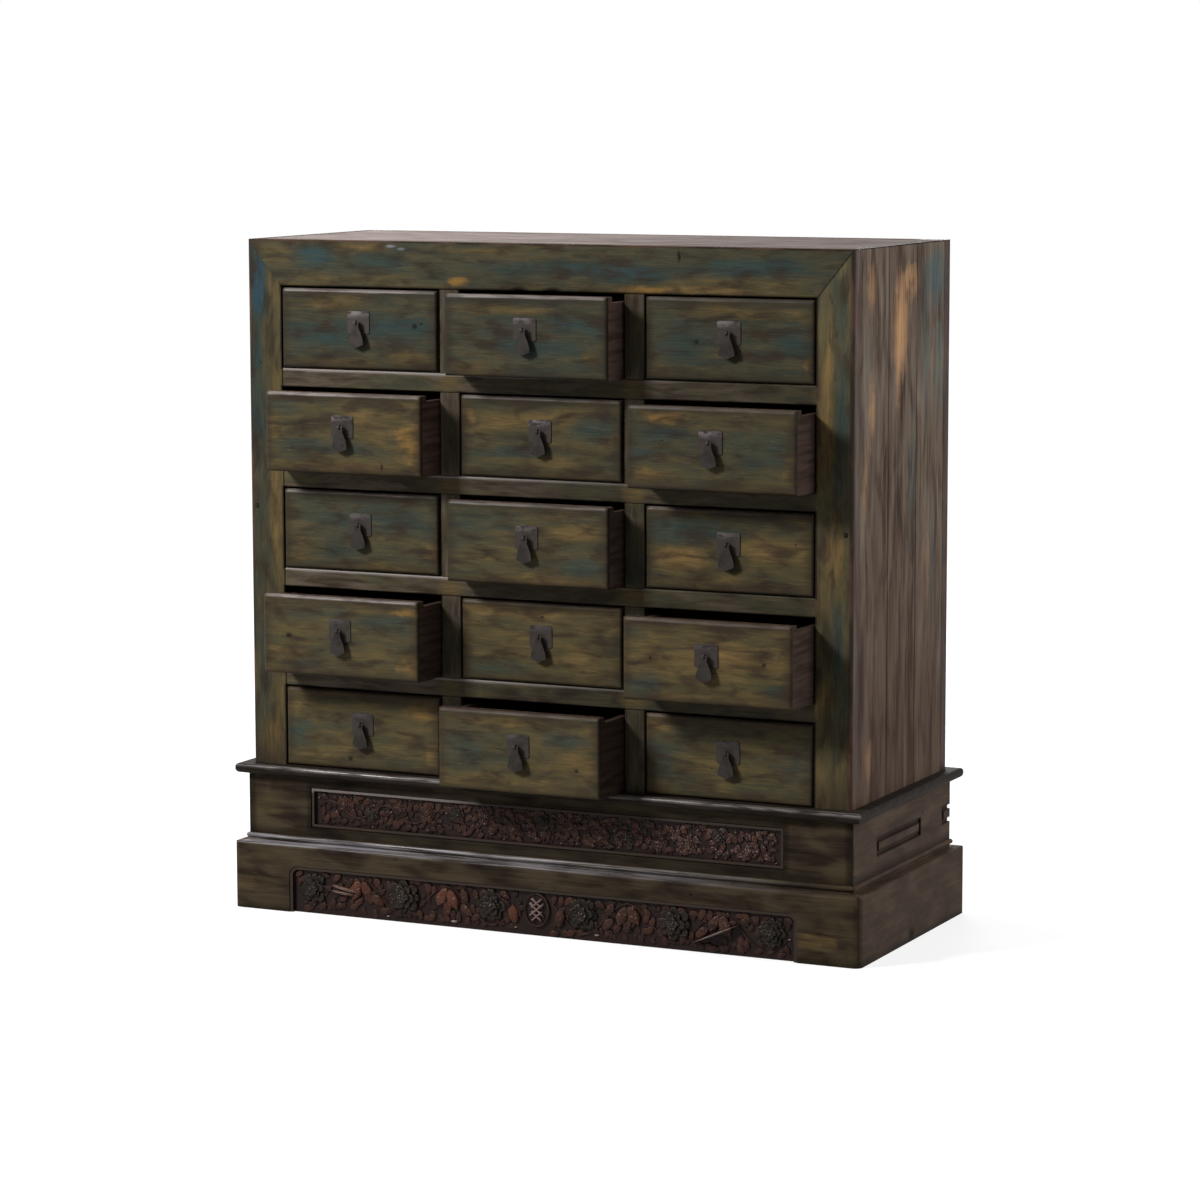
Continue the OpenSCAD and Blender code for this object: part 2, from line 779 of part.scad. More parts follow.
module plinth_frame() {
    bearer_y = waist_box.y / 2 - waist_t - joint_gap;
    color(olive) {
        difference() {
            intersection() {
                mitred_frame(plinth_box, plinth_t) plinth_outline();
                linear_extrude(plinth_h) plinth_plan();
            }
            translate([0, plinth_face_y - over, 0]) along_y(plinth_t + 2 * over)
                panel_outline(plinth_panel_w, plinth_panel_h, panel_corner_r);
        }
        block([-bearer_t / 2, -bearer_y, 0], [bearer_t / 2, bearer_y, waist_top - joint_gap]);
    }
}

module plinth_carving() {
    w = plinth_panel_w - 2 * joint_gap;
    h = plinth_panel_h - joint_gap;
    b = panel_bead_w;
    color(carved_wood) translate([0, plinth_face_y + panel_setback, 0]) difference() {
        along_y(plinth_t - panel_setback) panel_outline(w, h, panel_corner_r);
        translate([0, -over, 0]) along_y(ground_depth + over)
            panel_outline(w - 2 * b, h - b, panel_corner_r - b);
        block([-w, -over, -2 * over], [w, plinth_t, 0]);
    }
}

// Moves a piece of a drawer to row r, column c, pulled out as far as that drawer is
module at_drawer(r, c) {
    y = front_y - front_proud - pull_out[r - 1][c - 1];
    translate([col_x(c), y, row_z(r) + drawer_run_gap]) children();
}

// The tails on one end of the right drawer side, drawn out from y_root to y_tip, or their sockets if grown
module tails(y_root, y_tip, grow) {
    root = tail_root / 2 + grow;
    tip = tail_tip / 2 + grow;
    y_in = y_root - sign(y_tip - y_root) * over;
    for (k = [0:tail_count - 1])
        translate([drawer_inner_x - grow, 0, bottom_top + (k + 0.5) * tail_pitch])
            rotate([90, 0, 90]) linear_extrude(drawer_side_t + grow + (grow > 0 ? over : 0))
                polygon([
                    [y_in, -root], [y_root, -root], [y_tip, -tip],
                    [y_tip, tip], [y_root, root], [y_in, root]
                ]);
}

// The drawer bottom, let into the front, the sides and the back
module bottom_board(grow) {
    g = grow * [1, 1, 1];
    block(
        [-drawer_inner_x - groove_d, front_t - groove_d, bottom_rise] - g,
        [drawer_inner_x + groove_d, drawer_len - drawer_back_t + groove_d, bottom_top] + g
    );
}

module drawer_front() {
    difference() {
        translate([0, 0, front_lift]) eased_board(drawer_w, front_t, drawer_front_h, front_edge_r);
        both_sides() tails(front_t + joint_gap, dovetail_lap, joint_gap);
        bottom_board(joint_gap);
        translate([0, 0, eye_z]) along_y(front_t + over) circle(pin_hole_r);
    }
}

module drawer_side() {
    y0 = front_t + joint_gap;
    y1 = drawer_len - drawer_back_t - joint_gap;
    difference() {
        union() {
            block([drawer_inner_x, y0, 0], [drawer_w / 2 - joint_gap, y1, drawer_side_h]);
            intersection() {
                union() {
                    tails(y0, dovetail_lap + joint_gap, 0);
                    tails(y1, drawer_len, 0);
                }
                block([0, 0, 0], [drawer_w / 2 - joint_gap, drawer_len, drawer_side_h]);
            }
        }
        bottom_board(joint_gap);
    }
}

module drawer_back() {
    y0 = drawer_len - drawer_back_t;
    difference() {
        block([joint_gap - drawer_w / 2, y0, 0], [drawer_w / 2 - joint_gap, drawer_len, drawer_side_h]);
        both_sides() tails(y0 - joint_gap, drawer_len + joint_gap, joint_gap);
        bottom_board(joint_gap);
    }
}

module drawer(r, c) {
    at_drawer(r, c) {
        color(teal) drawer_front();
        color(dark_wood) both_sides() drawer_side();
        color(dark_wood) drawer_back();
        color(bare_wood) bottom_board(0);
    }
}

module backing_plate() {
    r = plate_corner_r;
    translate([0, -plate_t, eye_z]) along_y(plate_t) difference() {
        union() {
            square([plate_w, plate_h - 2 * r], center = true);
            square([plate_w - 2 * r, plate_h], center = true);
            for (sx = [-1, 1], sz = [-1, 1])
                translate([sx * (plate_w / 2 - r), sz * (plate_h / 2 - r)]) circle(r);
        }
        circle(pin_hole_r);
    }
}

// A bent wire: an eye in front, a shank through plate and drawer front, and two legs bent over inside
module split_pin() {
    leg_y = front_t + joint_gap;
    shank_y = eye_ring_r - eye_reach;
    translate([0, -eye_reach, eye_z]) rotate([0, 90, 0])
        rotate_extrude() translate([eye_ring_r, 0]) circle(wire_r);
    translate([0, shank_y, eye_z]) along_y(leg_y + leg_t / 2 - shank_y) circle(wire_r);
    block([-wire_r, leg_y, eye_z - pin_leg], [wire_r, leg_y + leg_t, eye_z + pin_leg]);
}

module plate(r, c) {
    color(iron) at_drawer(r, c) {
        backing_plate();
        split_pin();
    }
}

// Half the width of the drop at share t of the way from its neck to its foot
function drop_half(t) = (neck_w + (drop_w - neck_w) * sin(90 * t)) / 2;

// The drop as it hangs, its cross bar on the X axis
module drop() {
    flare = [for (i = [0:flare_steps]) [
        drop_half(i / flare_steps),
        -neck_len - (drop_len - drop_point - neck_len) * i / flare_steps
    ]];
    other_side = [for (i = [flare_steps:-1:0]) [-flare[i].x, flare[i].y]];
    difference() {
        union() {
            translate([0, -drop_t / 2, 0]) along_y(drop_t)
                polygon(concat([[neck_w / 2, 0]], flare, [[0, -drop_len]], other_side, [[-neck_w / 2, 0]]));
            along_x(neck_w) circle(drop_t / 2);
        }
        block([-slot_w / 2, -drop_t, -slot_depth], [slot_w / 2, drop_t, drop_t]);
    }
    along_x(neck_w) circle(bar_r);
}

module pull(r, c) {
    color(iron) at_drawer(r, c) translate([0, -eye_reach, eye_z]) drop();
}

corner_posts();
frame_rails();
drawer_rails();
uprights();
side_panels();
back_panel();
drawer_shelves();
dividers();
drawer_guides();
top_boards();
ledge_frame();
waist_frame();
waist_carving();
plinth_frame();
plinth_carving();
for (r = [1:rows], c = [1:cols]) {
    drawer(r, c);
    plate(r, c);
    pull(r, c);
}
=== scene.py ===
"""An old medicine cabinet with fifteen drawers, streaked paint, iron drop pulls and a carved base.

Every length is in metres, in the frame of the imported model: X across the front, Y from the front to the back, Z up.
"""

import functools
import json
import math

import bmesh
import bpy
from mathutils import Matrix, Vector

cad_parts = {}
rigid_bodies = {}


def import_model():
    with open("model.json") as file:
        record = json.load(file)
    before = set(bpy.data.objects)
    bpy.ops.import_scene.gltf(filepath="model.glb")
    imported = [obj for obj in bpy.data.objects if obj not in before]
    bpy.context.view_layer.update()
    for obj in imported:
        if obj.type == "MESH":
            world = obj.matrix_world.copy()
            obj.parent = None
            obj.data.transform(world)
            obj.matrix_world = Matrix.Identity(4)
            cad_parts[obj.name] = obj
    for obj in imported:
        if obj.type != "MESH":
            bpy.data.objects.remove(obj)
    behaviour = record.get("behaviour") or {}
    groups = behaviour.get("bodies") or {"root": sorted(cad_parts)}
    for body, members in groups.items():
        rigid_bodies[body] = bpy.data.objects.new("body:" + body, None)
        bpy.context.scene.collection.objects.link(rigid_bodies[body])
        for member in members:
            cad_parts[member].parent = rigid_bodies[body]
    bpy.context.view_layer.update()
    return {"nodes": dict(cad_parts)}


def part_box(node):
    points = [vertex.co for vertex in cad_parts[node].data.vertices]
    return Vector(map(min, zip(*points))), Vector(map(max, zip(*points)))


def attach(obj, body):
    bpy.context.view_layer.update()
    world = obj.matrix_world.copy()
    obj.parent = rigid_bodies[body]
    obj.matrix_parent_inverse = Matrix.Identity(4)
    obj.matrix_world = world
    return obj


bl_info = {
    "name": "Medicine Cabinet",
    "version": (1, 0, 0),
    "blender": (4, 5, 0),
    "location": "3D View > Sidebar > Cabinet",
    "description": "Paint, bare wood, carving and ironwork for an old medicine cabinet",
    "category": "Object",
}

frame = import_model()
NODES = frame["nodes"]
MM = 0.001

# Places read from the frame
CASE_LOW, CASE_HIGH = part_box("corner_posts")
PLINTH_LOW, PLINTH_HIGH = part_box("plinth_frame")
WAIST_LOW, WAIST_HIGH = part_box("waist_frame")
LEDGE_LOW, LEDGE_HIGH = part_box("ledge_frame")
WAIST_PANEL_LOW, WAIST_PANEL_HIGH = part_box("waist_carving")
PLINTH_PANEL_LOW, PLINTH_PANEL_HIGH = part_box("plinth_carving")
PLATES = sorted(n for n in NODES if n.startswith("plate_r"))
PULLS = sorted(n for n in NODES if n.startswith("pull_r"))
DRAWERS = [n.replace("plate", "drawer") for n in PLATES]
COLUMN_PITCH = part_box("drawer_r1c3")[0].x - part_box("drawer_r1c2")[0].x
ROW_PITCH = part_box("drawer_r1c1")[0].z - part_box("drawer_r2c1")[0].z
FRONT_LOW, FRONT_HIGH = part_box("drawer_r5c2")
SIDE_LOW, SIDE_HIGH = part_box("side_panels")
OPENING_HALF = COLUMN_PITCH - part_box("uprights")[1].x
OPENING_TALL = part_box("drawer_rails")[0].z - LEDGE_HIGH.z
POST_INNER = COLUMN_PITCH + OPENING_HALF
RAIL_UNDER = LEDGE_HIGH.z + 4 * ROW_PITCH + OPENING_TALL
PLINTH_TOP = WAIST_PANEL_LOW.z - 15 * MM
BETWEEN_PANELS = (PLINTH_PANEL_HIGH.z + WAIST_PANEL_LOW.z) / 2
# The sunk rings on the waist's sides: middle and half size along Y and Z, one ring to the next, and width of groove
RING_MIDDLE, RING_HALF = (-15.5 * MM, 158.5 * MM), (90.5 * MM, 13.5 * MM)
RING_PITCH, RING_GROOVE = 273 * MM, 7 * MM
SIDE_BOARDS, BACK_BOARDS = 3, 5


def shade(code):
    """The linear colour of a six-figure colour code."""
    parts = [int(code[i : i + 2], 16) / 255 for i in (0, 2, 4)]
    return tuple(p / 12.92 if p <= 0.04045 else ((p + 0.055) / 1.055) ** 2.4 for p in parts)


def colour(name, description, code):
    return bpy.props.FloatVectorProperty(
        name=name, description=description, subtype="COLOR", size=3, min=0, max=1, default=shade(code)
    )


def length(name, description, value):
    return bpy.props.FloatProperty(
        name=name, description=description, unit="LENGTH", subtype="DISTANCE", min=0, default=value
    )


def number(name, description, subtype, value):
    return bpy.props.FloatProperty(name=name, description=description, subtype=subtype, default=value)


class PaintSettings(bpy.types.PropertyGroup):
    """Colours of the painted front"""

    blue: colour("Blue", "The freshest of the old paint", "2C4049")
    teal: colour("Teal", "The blue-green coat", "303A34")
    slate: colour("Slate", "The coat where it has greyed", "3D3C2F")
    olive: colour("Olive", "Where the coat wears thin over the ground", "4B422B")
    ochre: colour("Ochre", "The ground coat", "625032")
    orange: colour("Orange", "The ground coat where it was rubbed most", "7C5E30")
    brown: colour("Brown", "Old glaze on the wood", "2D241C")
    # Grime is real dirt and wax, and is also laid as painted shade beside the drawers' openings and round the waist's
    # panel and front corners.
    grime_and_shade: colour("Grime", "Dirt and wax in corners", "100D0B")
    # Bare edge is real wear in scratches, and is also laid as painted highlight on the drawers' and rails' upper
    # edges, the ledge's nose and the waist's upper bead.
    bare: colour("Bare edge", "Wood laid bare along the edges", "958A87")
    flank: colour("Drawer flanks", "The stained flanks of the drawers", "57453F")


class WoodSettings(bpy.types.PropertyGroup):
    """Colours of the unpainted wood"""

    side: colour("Side boards", "The weathered side boards", "5C5046")
    side_pale: colour("Side streaks", "Pale streaks in the side boards", "84715F")
    peach: colour("Side patch", "The patch worn through to new wood", "A8825E")
    side_dark: colour("Side shadow", "The dark streaks of the side boards", "382C25")
    # Top boards is paler than the bare wood, partly as a painted reflection of the light over the top.
    top: colour("Top boards", "The bare top", "8A807D")
    inner: colour("Inner boards", "Boards inside the case and the drawers", "6B543D")
    back: colour("Back boards", "The unpainted back", "5A4634")
    carved: colour("Carved wood", "The red-brown carved panels", "3E271F")
    carved_leaf: colour("Carved leaves", "Carving rubbed to orange-brown", "513024")
    carved_flower: colour("Carved flowers", "Carving that keeps its green", "1D1D18")
    # Carved tips is laid partly as wear and partly as painted highlight on the carving's highest points and pale
    # pieces.
    carved_tip: colour("Carved tips", "The highest parts, worn pale", "A0928B")


class IronSettings(bpy.types.PropertyGroup):
    """Colours of the ironwork"""

    iron: colour("Iron", "Forged iron", "35302D")
    rust: colour("Rust", "Old rust in the low places", "241F1B")
    # Rubbed iron is partly wear and partly painted highlight along the plates' tops.
    rubbed: colour("Rubbed iron", "Iron rubbed bright along the top of each plate", "7A7071")


class CarvingSettings(bpy.types.PropertyGroup):
    """Sizes of the carving"""

    stem: length("Stem", "Radius of the vine's stems", 1.7 * MM)
    relief: length("Relief", "Height of the carving above its ground", 6 * MM)
    seed: bpy.props.IntProperty(name="Seed", description="Which leaves turn which way", default=7)


class StageSettings(bpy.types.PropertyGroup):
    """The camera and the lamps"""

    key: number("Key", "Lamp at the upper left", "POWER", 205.0)
    side: number("Side", "Lamp at the right", "POWER", 72.0)
    top: number("Top", "Lamp overhead", "POWER", 38.0)
    back: number("Back", "Lamp behind", "POWER", 70.0)
    air: number("Air", "Light from all round", "FACTOR", 0.15)
    heading: number("Heading", "How far the camera turns left", "ANGLE", math.radians(25.383))
    tilt: number("Tilt", "How far the camera looks down", "ANGLE", math.radians(7.542))
    roll: number("Roll", "How far the camera leans", "ANGLE", math.radians(-0.116))
    place: bpy.props.FloatVectorProperty(
        name="Place",
        description="Where the camera stands",
        unit="LENGTH",
        size=3,
        default=(2.5775, -5.4227, 1.2804),
    )
    lens: bpy.props.FloatProperty(name="Lens", description="Focal length", unit="CAMERA", default=117.84)


class CabinetSettings(bpy.types.PropertyGroup):
    """All settings of the cabinet"""

    paint: bpy.props.PointerProperty(type=PaintSettings)
    wood: bpy.props.PointerProperty(type=WoodSettings)
    iron: bpy.props.PointerProperty(type=IronSettings)
    carving: bpy.props.PointerProperty(type=CarvingSettings)
    stage: bpy.props.PointerProperty(type=StageSettings)


# Finishes


def add_node(tree, kind, inputs=None, **settings):
    """A new node; its inputs are given as values, or as sockets to link."""
    node = tree.nodes.new(kind)
    for key, value in settings.items():
        setattr(node, key, value)
    for key, value in (inputs or {}).items():
        if isinstance(value, bpy.types.NodeSocket):
            tree.links.new(value, node.inputs[key])
        else:
            node.inputs[key].default_value = value
    return node


class Finish:
    """The nodes of one finish, laid out from the object's own coordinates."""

    def __init__(self, name):
        self.material = bpy.data.materials.new(name)
        self.material.use_nodes = True
        self.tree = self.material.node_tree
        self.tree.nodes.clear()
        settings = bpy.context.scene.cabinet
        self.paint, self.wood = settings.paint, settings.wood
        self.place = self.add("ShaderNodeTexCoord").outputs["Object"]
        split = self.add("ShaderNodeSeparateXYZ", {0: self.place})
        self.x, self.y, self.z = split.outputs

    def add(self, kind, inputs=None, **settings):
        return add_node(self.tree, kind, inputs, **settings)

    def math(self, operation, *values):
        return self.add("ShaderNodeMath", dict(enumerate(values)), operation=operation).outputs[0]

    def vector(self, operation, *values):
        return self.add("ShaderNodeVectorMath", dict(enumerate(values)), operation=operation).outputs[0]

    def total(self, *terms):
        """The sum of (value, weight) pairs and plain numbers."""
        result = 0.0
        for term in terms:
            if isinstance(term, tuple):
                result = self.math("MULTIPLY_ADD", term[0], term[1], result)
            else:
                result = self.plus(term, result)
        return result

    def folded(self, operation, values):
        result = values[0]
        for value in values[1:]:
            result = self.math(operation, result, value)
        return result

    def times(self, *values):
        return self.folded("MULTIPLY", values)

    def plus(self, *values):
        return self.folded("ADD", values)

    def most(self, *values):
        return self.folded("MAXIMUM", values)

    def least(self, *values):
        return self.folded("MINIMUM", values)

    def minus(self, value, less):
        return self.math("SUBTRACT", value, less)

    def abs(self, value):
        return self.math("ABSOLUTE", value)

    def wrap(self, value, half):
        """A value counted from the middle of its repeat, which is twice half long."""
        return self.math("WRAP", value, half, -half)

    def each(self, value):
        """A random number for each whole step of a value."""
        whole = self.math("FLOOR", value)
        return self.add("ShaderNodeTexWhiteNoise", {"W": whole}, noise_dimensions="1D").outputs["Value"]

    def step(self, value, low, high, most=1.0):
        """0 below low, most above high, and a smooth rise between them."""
        sockets = {"Value": value, "From Min": low, "From Max": high, "To Max": most}
        return self.add("ShaderNodeMapRange", sockets, interpolation_type="SMOOTHSTEP").outputs["Result"]

    def mix(self, factor, low, high):
        """The low colour where the factor is 0, and the high one where it is 1."""
        low, high = [v if isinstance(v, bpy.types.NodeSocket) else (*v, 1) for v in (low, high)]
        return self.add("ShaderNodeMix", {"Factor": factor, 6: low, 7: high}, data_type="RGBA").outputs[2]

    def lay(self, factor, colour):
        """Lays a colour over the tone so far."""
        self.tone = self.mix(factor, self.tone, colour)

    def bright(self, tone, level):
        """A colour made brighter or darker by a factor."""
        return self.add("ShaderNodeHueSaturation", {"Value": level, "Color": tone}).outputs[0]

    def noise(self, cell, detail=3.0, rough=0.5, seed=0.0, warp=0.0, at=None):
        """Noise whose features are about cell = (x, y, z) metres long."""
        scale = tuple(1 / c for c in cell)
        shift = (seed * 7.31, seed * 3.17, seed * 5.53)
        place = self.vector("MULTIPLY_ADD", at or self.place, scale, shift)
        sockets = {"Vector": place, "Scale": 1.0, "Detail": detail, "Roughness": rough, "Distortion": warp}
        return self.add("ShaderNodeTexNoise", sockets).outputs[0]

    def specks(self, cell, size, seed):
        """Small ragged spots, in three cells of ten."""
        scale = tuple(1 / c for c in cell)
        blur = self.vector("MULTIPLY_ADD", self.ragged(0.004), (0.0025, 0.0025, 0.0025), self.place)
        place = self.vector("MULTIPLY_ADD", blur, scale, (seed, seed * 2, seed * 3))
        spots = self.add("ShaderNodeTexVoronoi", {"Vector": place, "Scale": 1.0})
        pick = self.add("ShaderNodeSeparateColor", {0: spots.outputs["Color"]}).outputs[0]
        near = self.step(spots.outputs["Distance"], size, size * 0.4)
        return self.times(near, self.math("LESS_THAN", pick, 0.3))

    def ragged(self, cell, seed=4.2):
        """A vector that varies by about half a unit each way, for uneven outlines."""
        place = self.vector("MULTIPLY_ADD", self.place, (1 / cell,) * 3, (seed, seed, seed))
        stir = self.add("ShaderNodeTexNoise", {"Vector": place, "Scale": 1.0, "Detail": 3.0, "Roughness": 0.6})
        return self.vector("SUBTRACT", stir.outputs["Color"], (0.5, 0.5, 0.5))

    def ramp(self, value, *stops):
        node = self.add("ShaderNodeValToRGB", {0: value})
        points = node.color_ramp.elements
        while len(points) < len(stops):
            points.new(0.5)
        for point, (place, tone) in zip(points, stops):
            point.position = place
            point.color = (*tone, 1)
        return node.outputs[0]

    def patches(self, across, up, spots, stir=(0.08, 0.022)):
        """The sum of soft ragged patches: (across, up, half width, half height, strength)."""
        flat = self.add("ShaderNodeCombineXYZ", {0: across, 1: up}).outputs[0]
        place = self.vector("MULTIPLY_ADD", self.ragged(0.03), (*stir, 0), flat)
        result = 0.0
        for a, b, wide, high, strength in spots:
            near = self.vector("MULTIPLY_ADD", place, (1 / wide, 1 / high, 0), (-a / wide, -b / high, 0))
            far = self.add("ShaderNodeVectorMath", {0: near}, operation="LENGTH").outputs["Value"]
            result = self.math("MULTIPLY_ADD", self.step(far, 1.25, 0.2), strength, result)
        return result

    def surface(self, rough, height, depth=1.2 * MM, specular=0.06, coat=0.0, coat_rough=0.22):
        """The surface itself, of the tone so far: its roughness, its unevenness in metres and its gloss."""
        bump = self.add("ShaderNodeBump", {"Height": height, "Distance": depth, "Strength": 0.6})
        sockets = {
            "Base Color": self.tone,
            "Roughness": rough,
            "Normal": bump.outputs[0],
            "Specular IOR Level": specular,
            "Coat Weight": coat,
            "Coat Roughness": coat_rough,
        }
        shader = self.add("ShaderNodeBsdfPrincipled", sockets)
        self.add("ShaderNodeOutputMaterial", {"Surface": shader.outputs[0]})
        return self.material


def wear(finish, *names):
    """Gives a finish to CAD nodes."""
    for name in names:
        data = NODES[name].data
        data.materials.clear()
        data.materials.append(finish)


def grain(f, along, seed=0.0):
    """Fine streaks, broad streaks and clouds along one axis of the wood."""
    fine, broad, cloud, bend = [0.0018] * 3, [0.0095] * 3, [0.036] * 3, [0.012] * 3
    fine[along], broad[along], cloud[along], bend[along] = 0.05, 0.085, 0.1, 0.0
    bent = f.vector("MULTIPLY_ADD", f.ragged(0.11, seed), tuple(bend), f.place)
    return (
        f.noise(fine, 4, 0.62, seed, at=bent),
        f.noise(broad, 3, 0.55, seed + 1, 0.5, at=bent),
        f.noise(cloud, 3, 0.45, seed + 2, 0.6, at=bent),
    )


def streaked_paint(f, along, shift, seed=0.0):
    """Old paint, rubbed from blue through olive to orange along the wood; shift is how much more it is worn."""
    paint = f.paint
    fine, broad, cloud = grain(f, along, seed)
    worn = f.total((cloud, 0.38), (broad, 0.3), (fine, 0.1), shift, 0.1)
    f.tone = f.ramp(
        worn,
        (0.08, paint.blue),
        (0.3, paint.teal),
        (0.43, paint.slate),
        (0.57, paint.olive),
        (0.74, paint.ochre),
        (0.96, paint.orange),
    )
    cell = [0.018] * 3
    cell[along] = 0.055
    glaze = f.step(f.noise(cell, 3, 0.5, seed + 5, 0.4), 0.42, 0.72, 0.85)
    f.lay(glaze, paint.brown)
    cell = [0.0012] * 3
    cell[along] = 0.02
    scratch = f.noise(cell, 5, 0.75, seed + 6)
    f.lay(f.step(scratch, 0.57, 0.68, 0.4), paint.grime_and_shade)
    f.lay(f.step(scratch, 0.42, 0.3, 0.15), paint.bare)
    level = f.total((fine, 0.75), (broad, 0.5), (cloud, 0.35), 0.2)
    f.tone = f.bright(f.tone, level)
    return fine, broad, cloud


def backed(f, broad):
    """Lays plain brown wood over what is behind the drawers."""
    f.lay(f.step(f.y, 0.1, 0.12), f.mix(f.step(broad, 0.3, 0.7), f.wood.side_dark, f.wood.back))


def beside_opening(f):
    """How far a point of the front frame lies from the nearest drawer's opening, in metres."""
    column = f.math("ROUND", f.math("DIVIDE", f.x, COLUMN_PITCH))
    column = f.most(f.least(column, 1.0), -1.0)
    off_x = f.minus(f.abs(f.total((column, -COLUMN_PITCH), f.x)), OPENING_HALF)
    rise = f.minus(f.z, LEDGE_HIGH.z + OPENING_TALL / 2)
    row = f.math("ROUND", f.math("DIVIDE", rise, ROW_PITCH))
    row = f.most(f.least(row, 4.0), 0.0)
    off_z = f.minus(f.abs(f.total((row, -ROW_PITCH), rise)), OPENING_TALL / 2)
    return f.most(off_x, off_z)


def mitre(f, broad):
    """The dark line of the frame's mitres, open at the right and nearly closed at the left."""
    rise = f.minus(f.z, RAIL_UNDER)
    run = f.minus(f.abs(f.x), POST_INNER)
    slope = (CASE_HIGH.x - POST_INNER) / (CASE_HIGH.z - RAIL_UNDER)
    off = f.abs(f.total((rise, -slope), run))
    line = f.step(f.total(off, (broad, 2 * MM)), 3 * MM, 1.4 * MM)
    return f.times(line, f.step(f.x, -0.2, 0.2, 0.85))


def weathered(f):
    """Weathered side boards; returns their fine streaks, broad streaks and cracks."""
    wood, paint = f.wood, f.paint
    fine = f.noise((0.0016, 0.0016, 0.07), 5, 0.65, 51)
    broad = f.noise((0.006, 0.006, 0.16), 4, 0.6, 52, 0.4)
    cloud = f.noise((0.03, 0.03, 0.13), 3, 0.5, 53, 0.6)
    board = f.times(f.minus(f.y, SIDE_LOW.y), SIDE_BOARDS / (SIDE_HIGH.y - SIDE_LOW.y))
    streak = f.total((broad, 0.42), (fine, 0.14), (cloud, 0.6), (f.each(board), 0.06), -0.09)
    f.tone = f.ramp(
        streak,
        (0.24, (0.03, 0.023, 0.019)),
        (0.4, wood.side_dark),
        (0.53, wood.side),
        (0.68, (0.15, 0.12, 0.092)),
        (0.84, wood.side_pale),
    )
    low = f.step(f.total(f.z, (cloud, 0.5)), 1.05, 0.6, 0.8)
    f.lay(low, f.mix(f.step(streak, 0.3, 0.7), (0.034, 0.021, 0.016), (0.094, 0.062, 0.046)))
    peach = f.patches(f.y, f.z, SIDE_PEACH, (0.022, 0.08))
    peach = f.times(peach, f.step(streak, 0.22, 0.58, 0.85))
    f.lay(peach, wood.peach)
    grey = f.patches(f.y, f.z, SIDE_GREY, (0.03, 0.1))
    f.lay(grey, f.mix(f.step(streak, 0.3, 0.7), (0.034, 0.047, 0.049), (0.086, 0.1, 0.094)))
    joint = f.abs(f.wrap(board, 0.5))
    cracks = f.step(f.noise((0.0026, 0.0026, 0.2), 4, 0.65, 58), 0.6, 0.68, 0.42)
    cracks = f.most(cracks, f.step(joint, 0.022, 0.006, 0.75))
    f.lay(cracks, paint.grime_and_shade)
    under_top = f.step(f.z, CASE_HIGH.z - 2.2 * MM, CASE_HIGH.z - 1.2 * MM, 0.75)
    f.lay(under_top, paint.grime_and_shade)
    soft = f.step(f.z, 0.55, 0.9, 0.45)
    level = f.total((f.minus(fine, 0.5), f.plus(soft, 0.25)), 1.12)
    f.tone = f.bright(f.tone, level)
    return fine, broad, cracks


# Soft patches on the posts, the top rail, the side boards and the base, as Finish.patches takes them
POST_WEAR = [
    (-0.48, 0.965, 0.018, 0.06, -0.4), (-0.484, 0.87, 0.014, 0.04, -0.16), (-0.48, 0.77, 0.016, 0.08, -0.06),
    (-0.454, 0.8, 0.012, 0.12, 0.12), (-0.454, 0.59, 0.012, 0.09, 0.16), (-0.47, 0.27, 0.03, 0.04, 0.16),
    (-0.474, 0.42, 0.016, 0.08, -0.06), (0.462, 0.82, 0.01, 0.12, 0.12), (0.48, 0.8, 0.014, 0.12, -0.08),
    (0.452, 0.64, 0.012, 0.06, -0.1), (0.472, 0.62, 0.018, 0.06, 0.2), (0.48, 0.48, 0.014, 0.07, -0.14),
    (0.462, 0.36, 0.018, 0.06, 0.06),
]
RAIL_WEAR = [
    (-0.385, 1.014, 0.055, 0.02, -0.28), (-0.27, 1.005, 0.06, 0.016, -0.22), (-0.3, 1.03, 0.06, 0.006, 0.22),
    (-0.25, 0.984, 0.06, 0.01, 0.1), (-0.135, 0.982, 0.022, 0.009, 0.55), (-0.1, 1.028, 0.06, 0.007, 0.14),
    (0.0, 1.004, 0.13, 0.014, -0.18), (0.13, 1.0, 0.09, 0.016, -0.24), (0.34, 1.01, 0.11, 0.018, -0.24),
    (0.17, 0.976, 0.05, 0.007, 0.34), (0.26, 0.978, 0.12, 0.008, 0.22), (0.37, 0.99, 0.06, 0.012, 0.1),
    (-0.35, 0.98, 0.08, 0.01, 0.1),
]
RAIL_CHIPS = [(-0.035, 0.97, 0.016, 0.006, 1), (0.02, 0.97, 0.016, 0.006, 1), (0.226, 1.024, 0.003, 0.01, 0.9)]
RAIL_PALE = [(-0.25, 1.033, 0.01, 0.0028, 0.6), (-0.232, 1.029, 0.007, 0.0026, 0.45)]
SIDE_PEACH = [
    (-0.01, 0.925, 0.034, 0.08, 1.1), (-0.018, 0.845, 0.014, 0.05, 0.6), (0.03, 0.985, 0.04, 0.026, 0.7),
    (-0.128, 0.985, 0.02, 0.04, 0.55), (-0.124, 0.805, 0.014, 0.055, 0.6), (-0.15, 0.7, 0.01, 0.06, 0.4),
    (0.11, 0.56, 0.01, 0.09, 0.25), (-0.125, 0.29, 0.022, 0.03, 0.35),
]
SIDE_GREY = [
    (0.135, 0.99, 0.06, 0.05, 1.0), (0.095, 0.88, 0.022, 0.12, 0.55), (0.15, 0.86, 0.022, 0.1, 0.6),
    (-0.135, 0.88, 0.014, 0.06, 0.4), (0.04, 0.7, 0.014, 0.14, 0.45), (0.13, 0.57, 0.02, 0.14, 0.35),
]
BASE_WARM = [(0.456, 0.036, 0.03, 0.018, 0.85), (-0.48, 0.16, 0.03, 0.016, 0.3), (-0.505, 0.04, 0.022, 0.014, 0.25)]


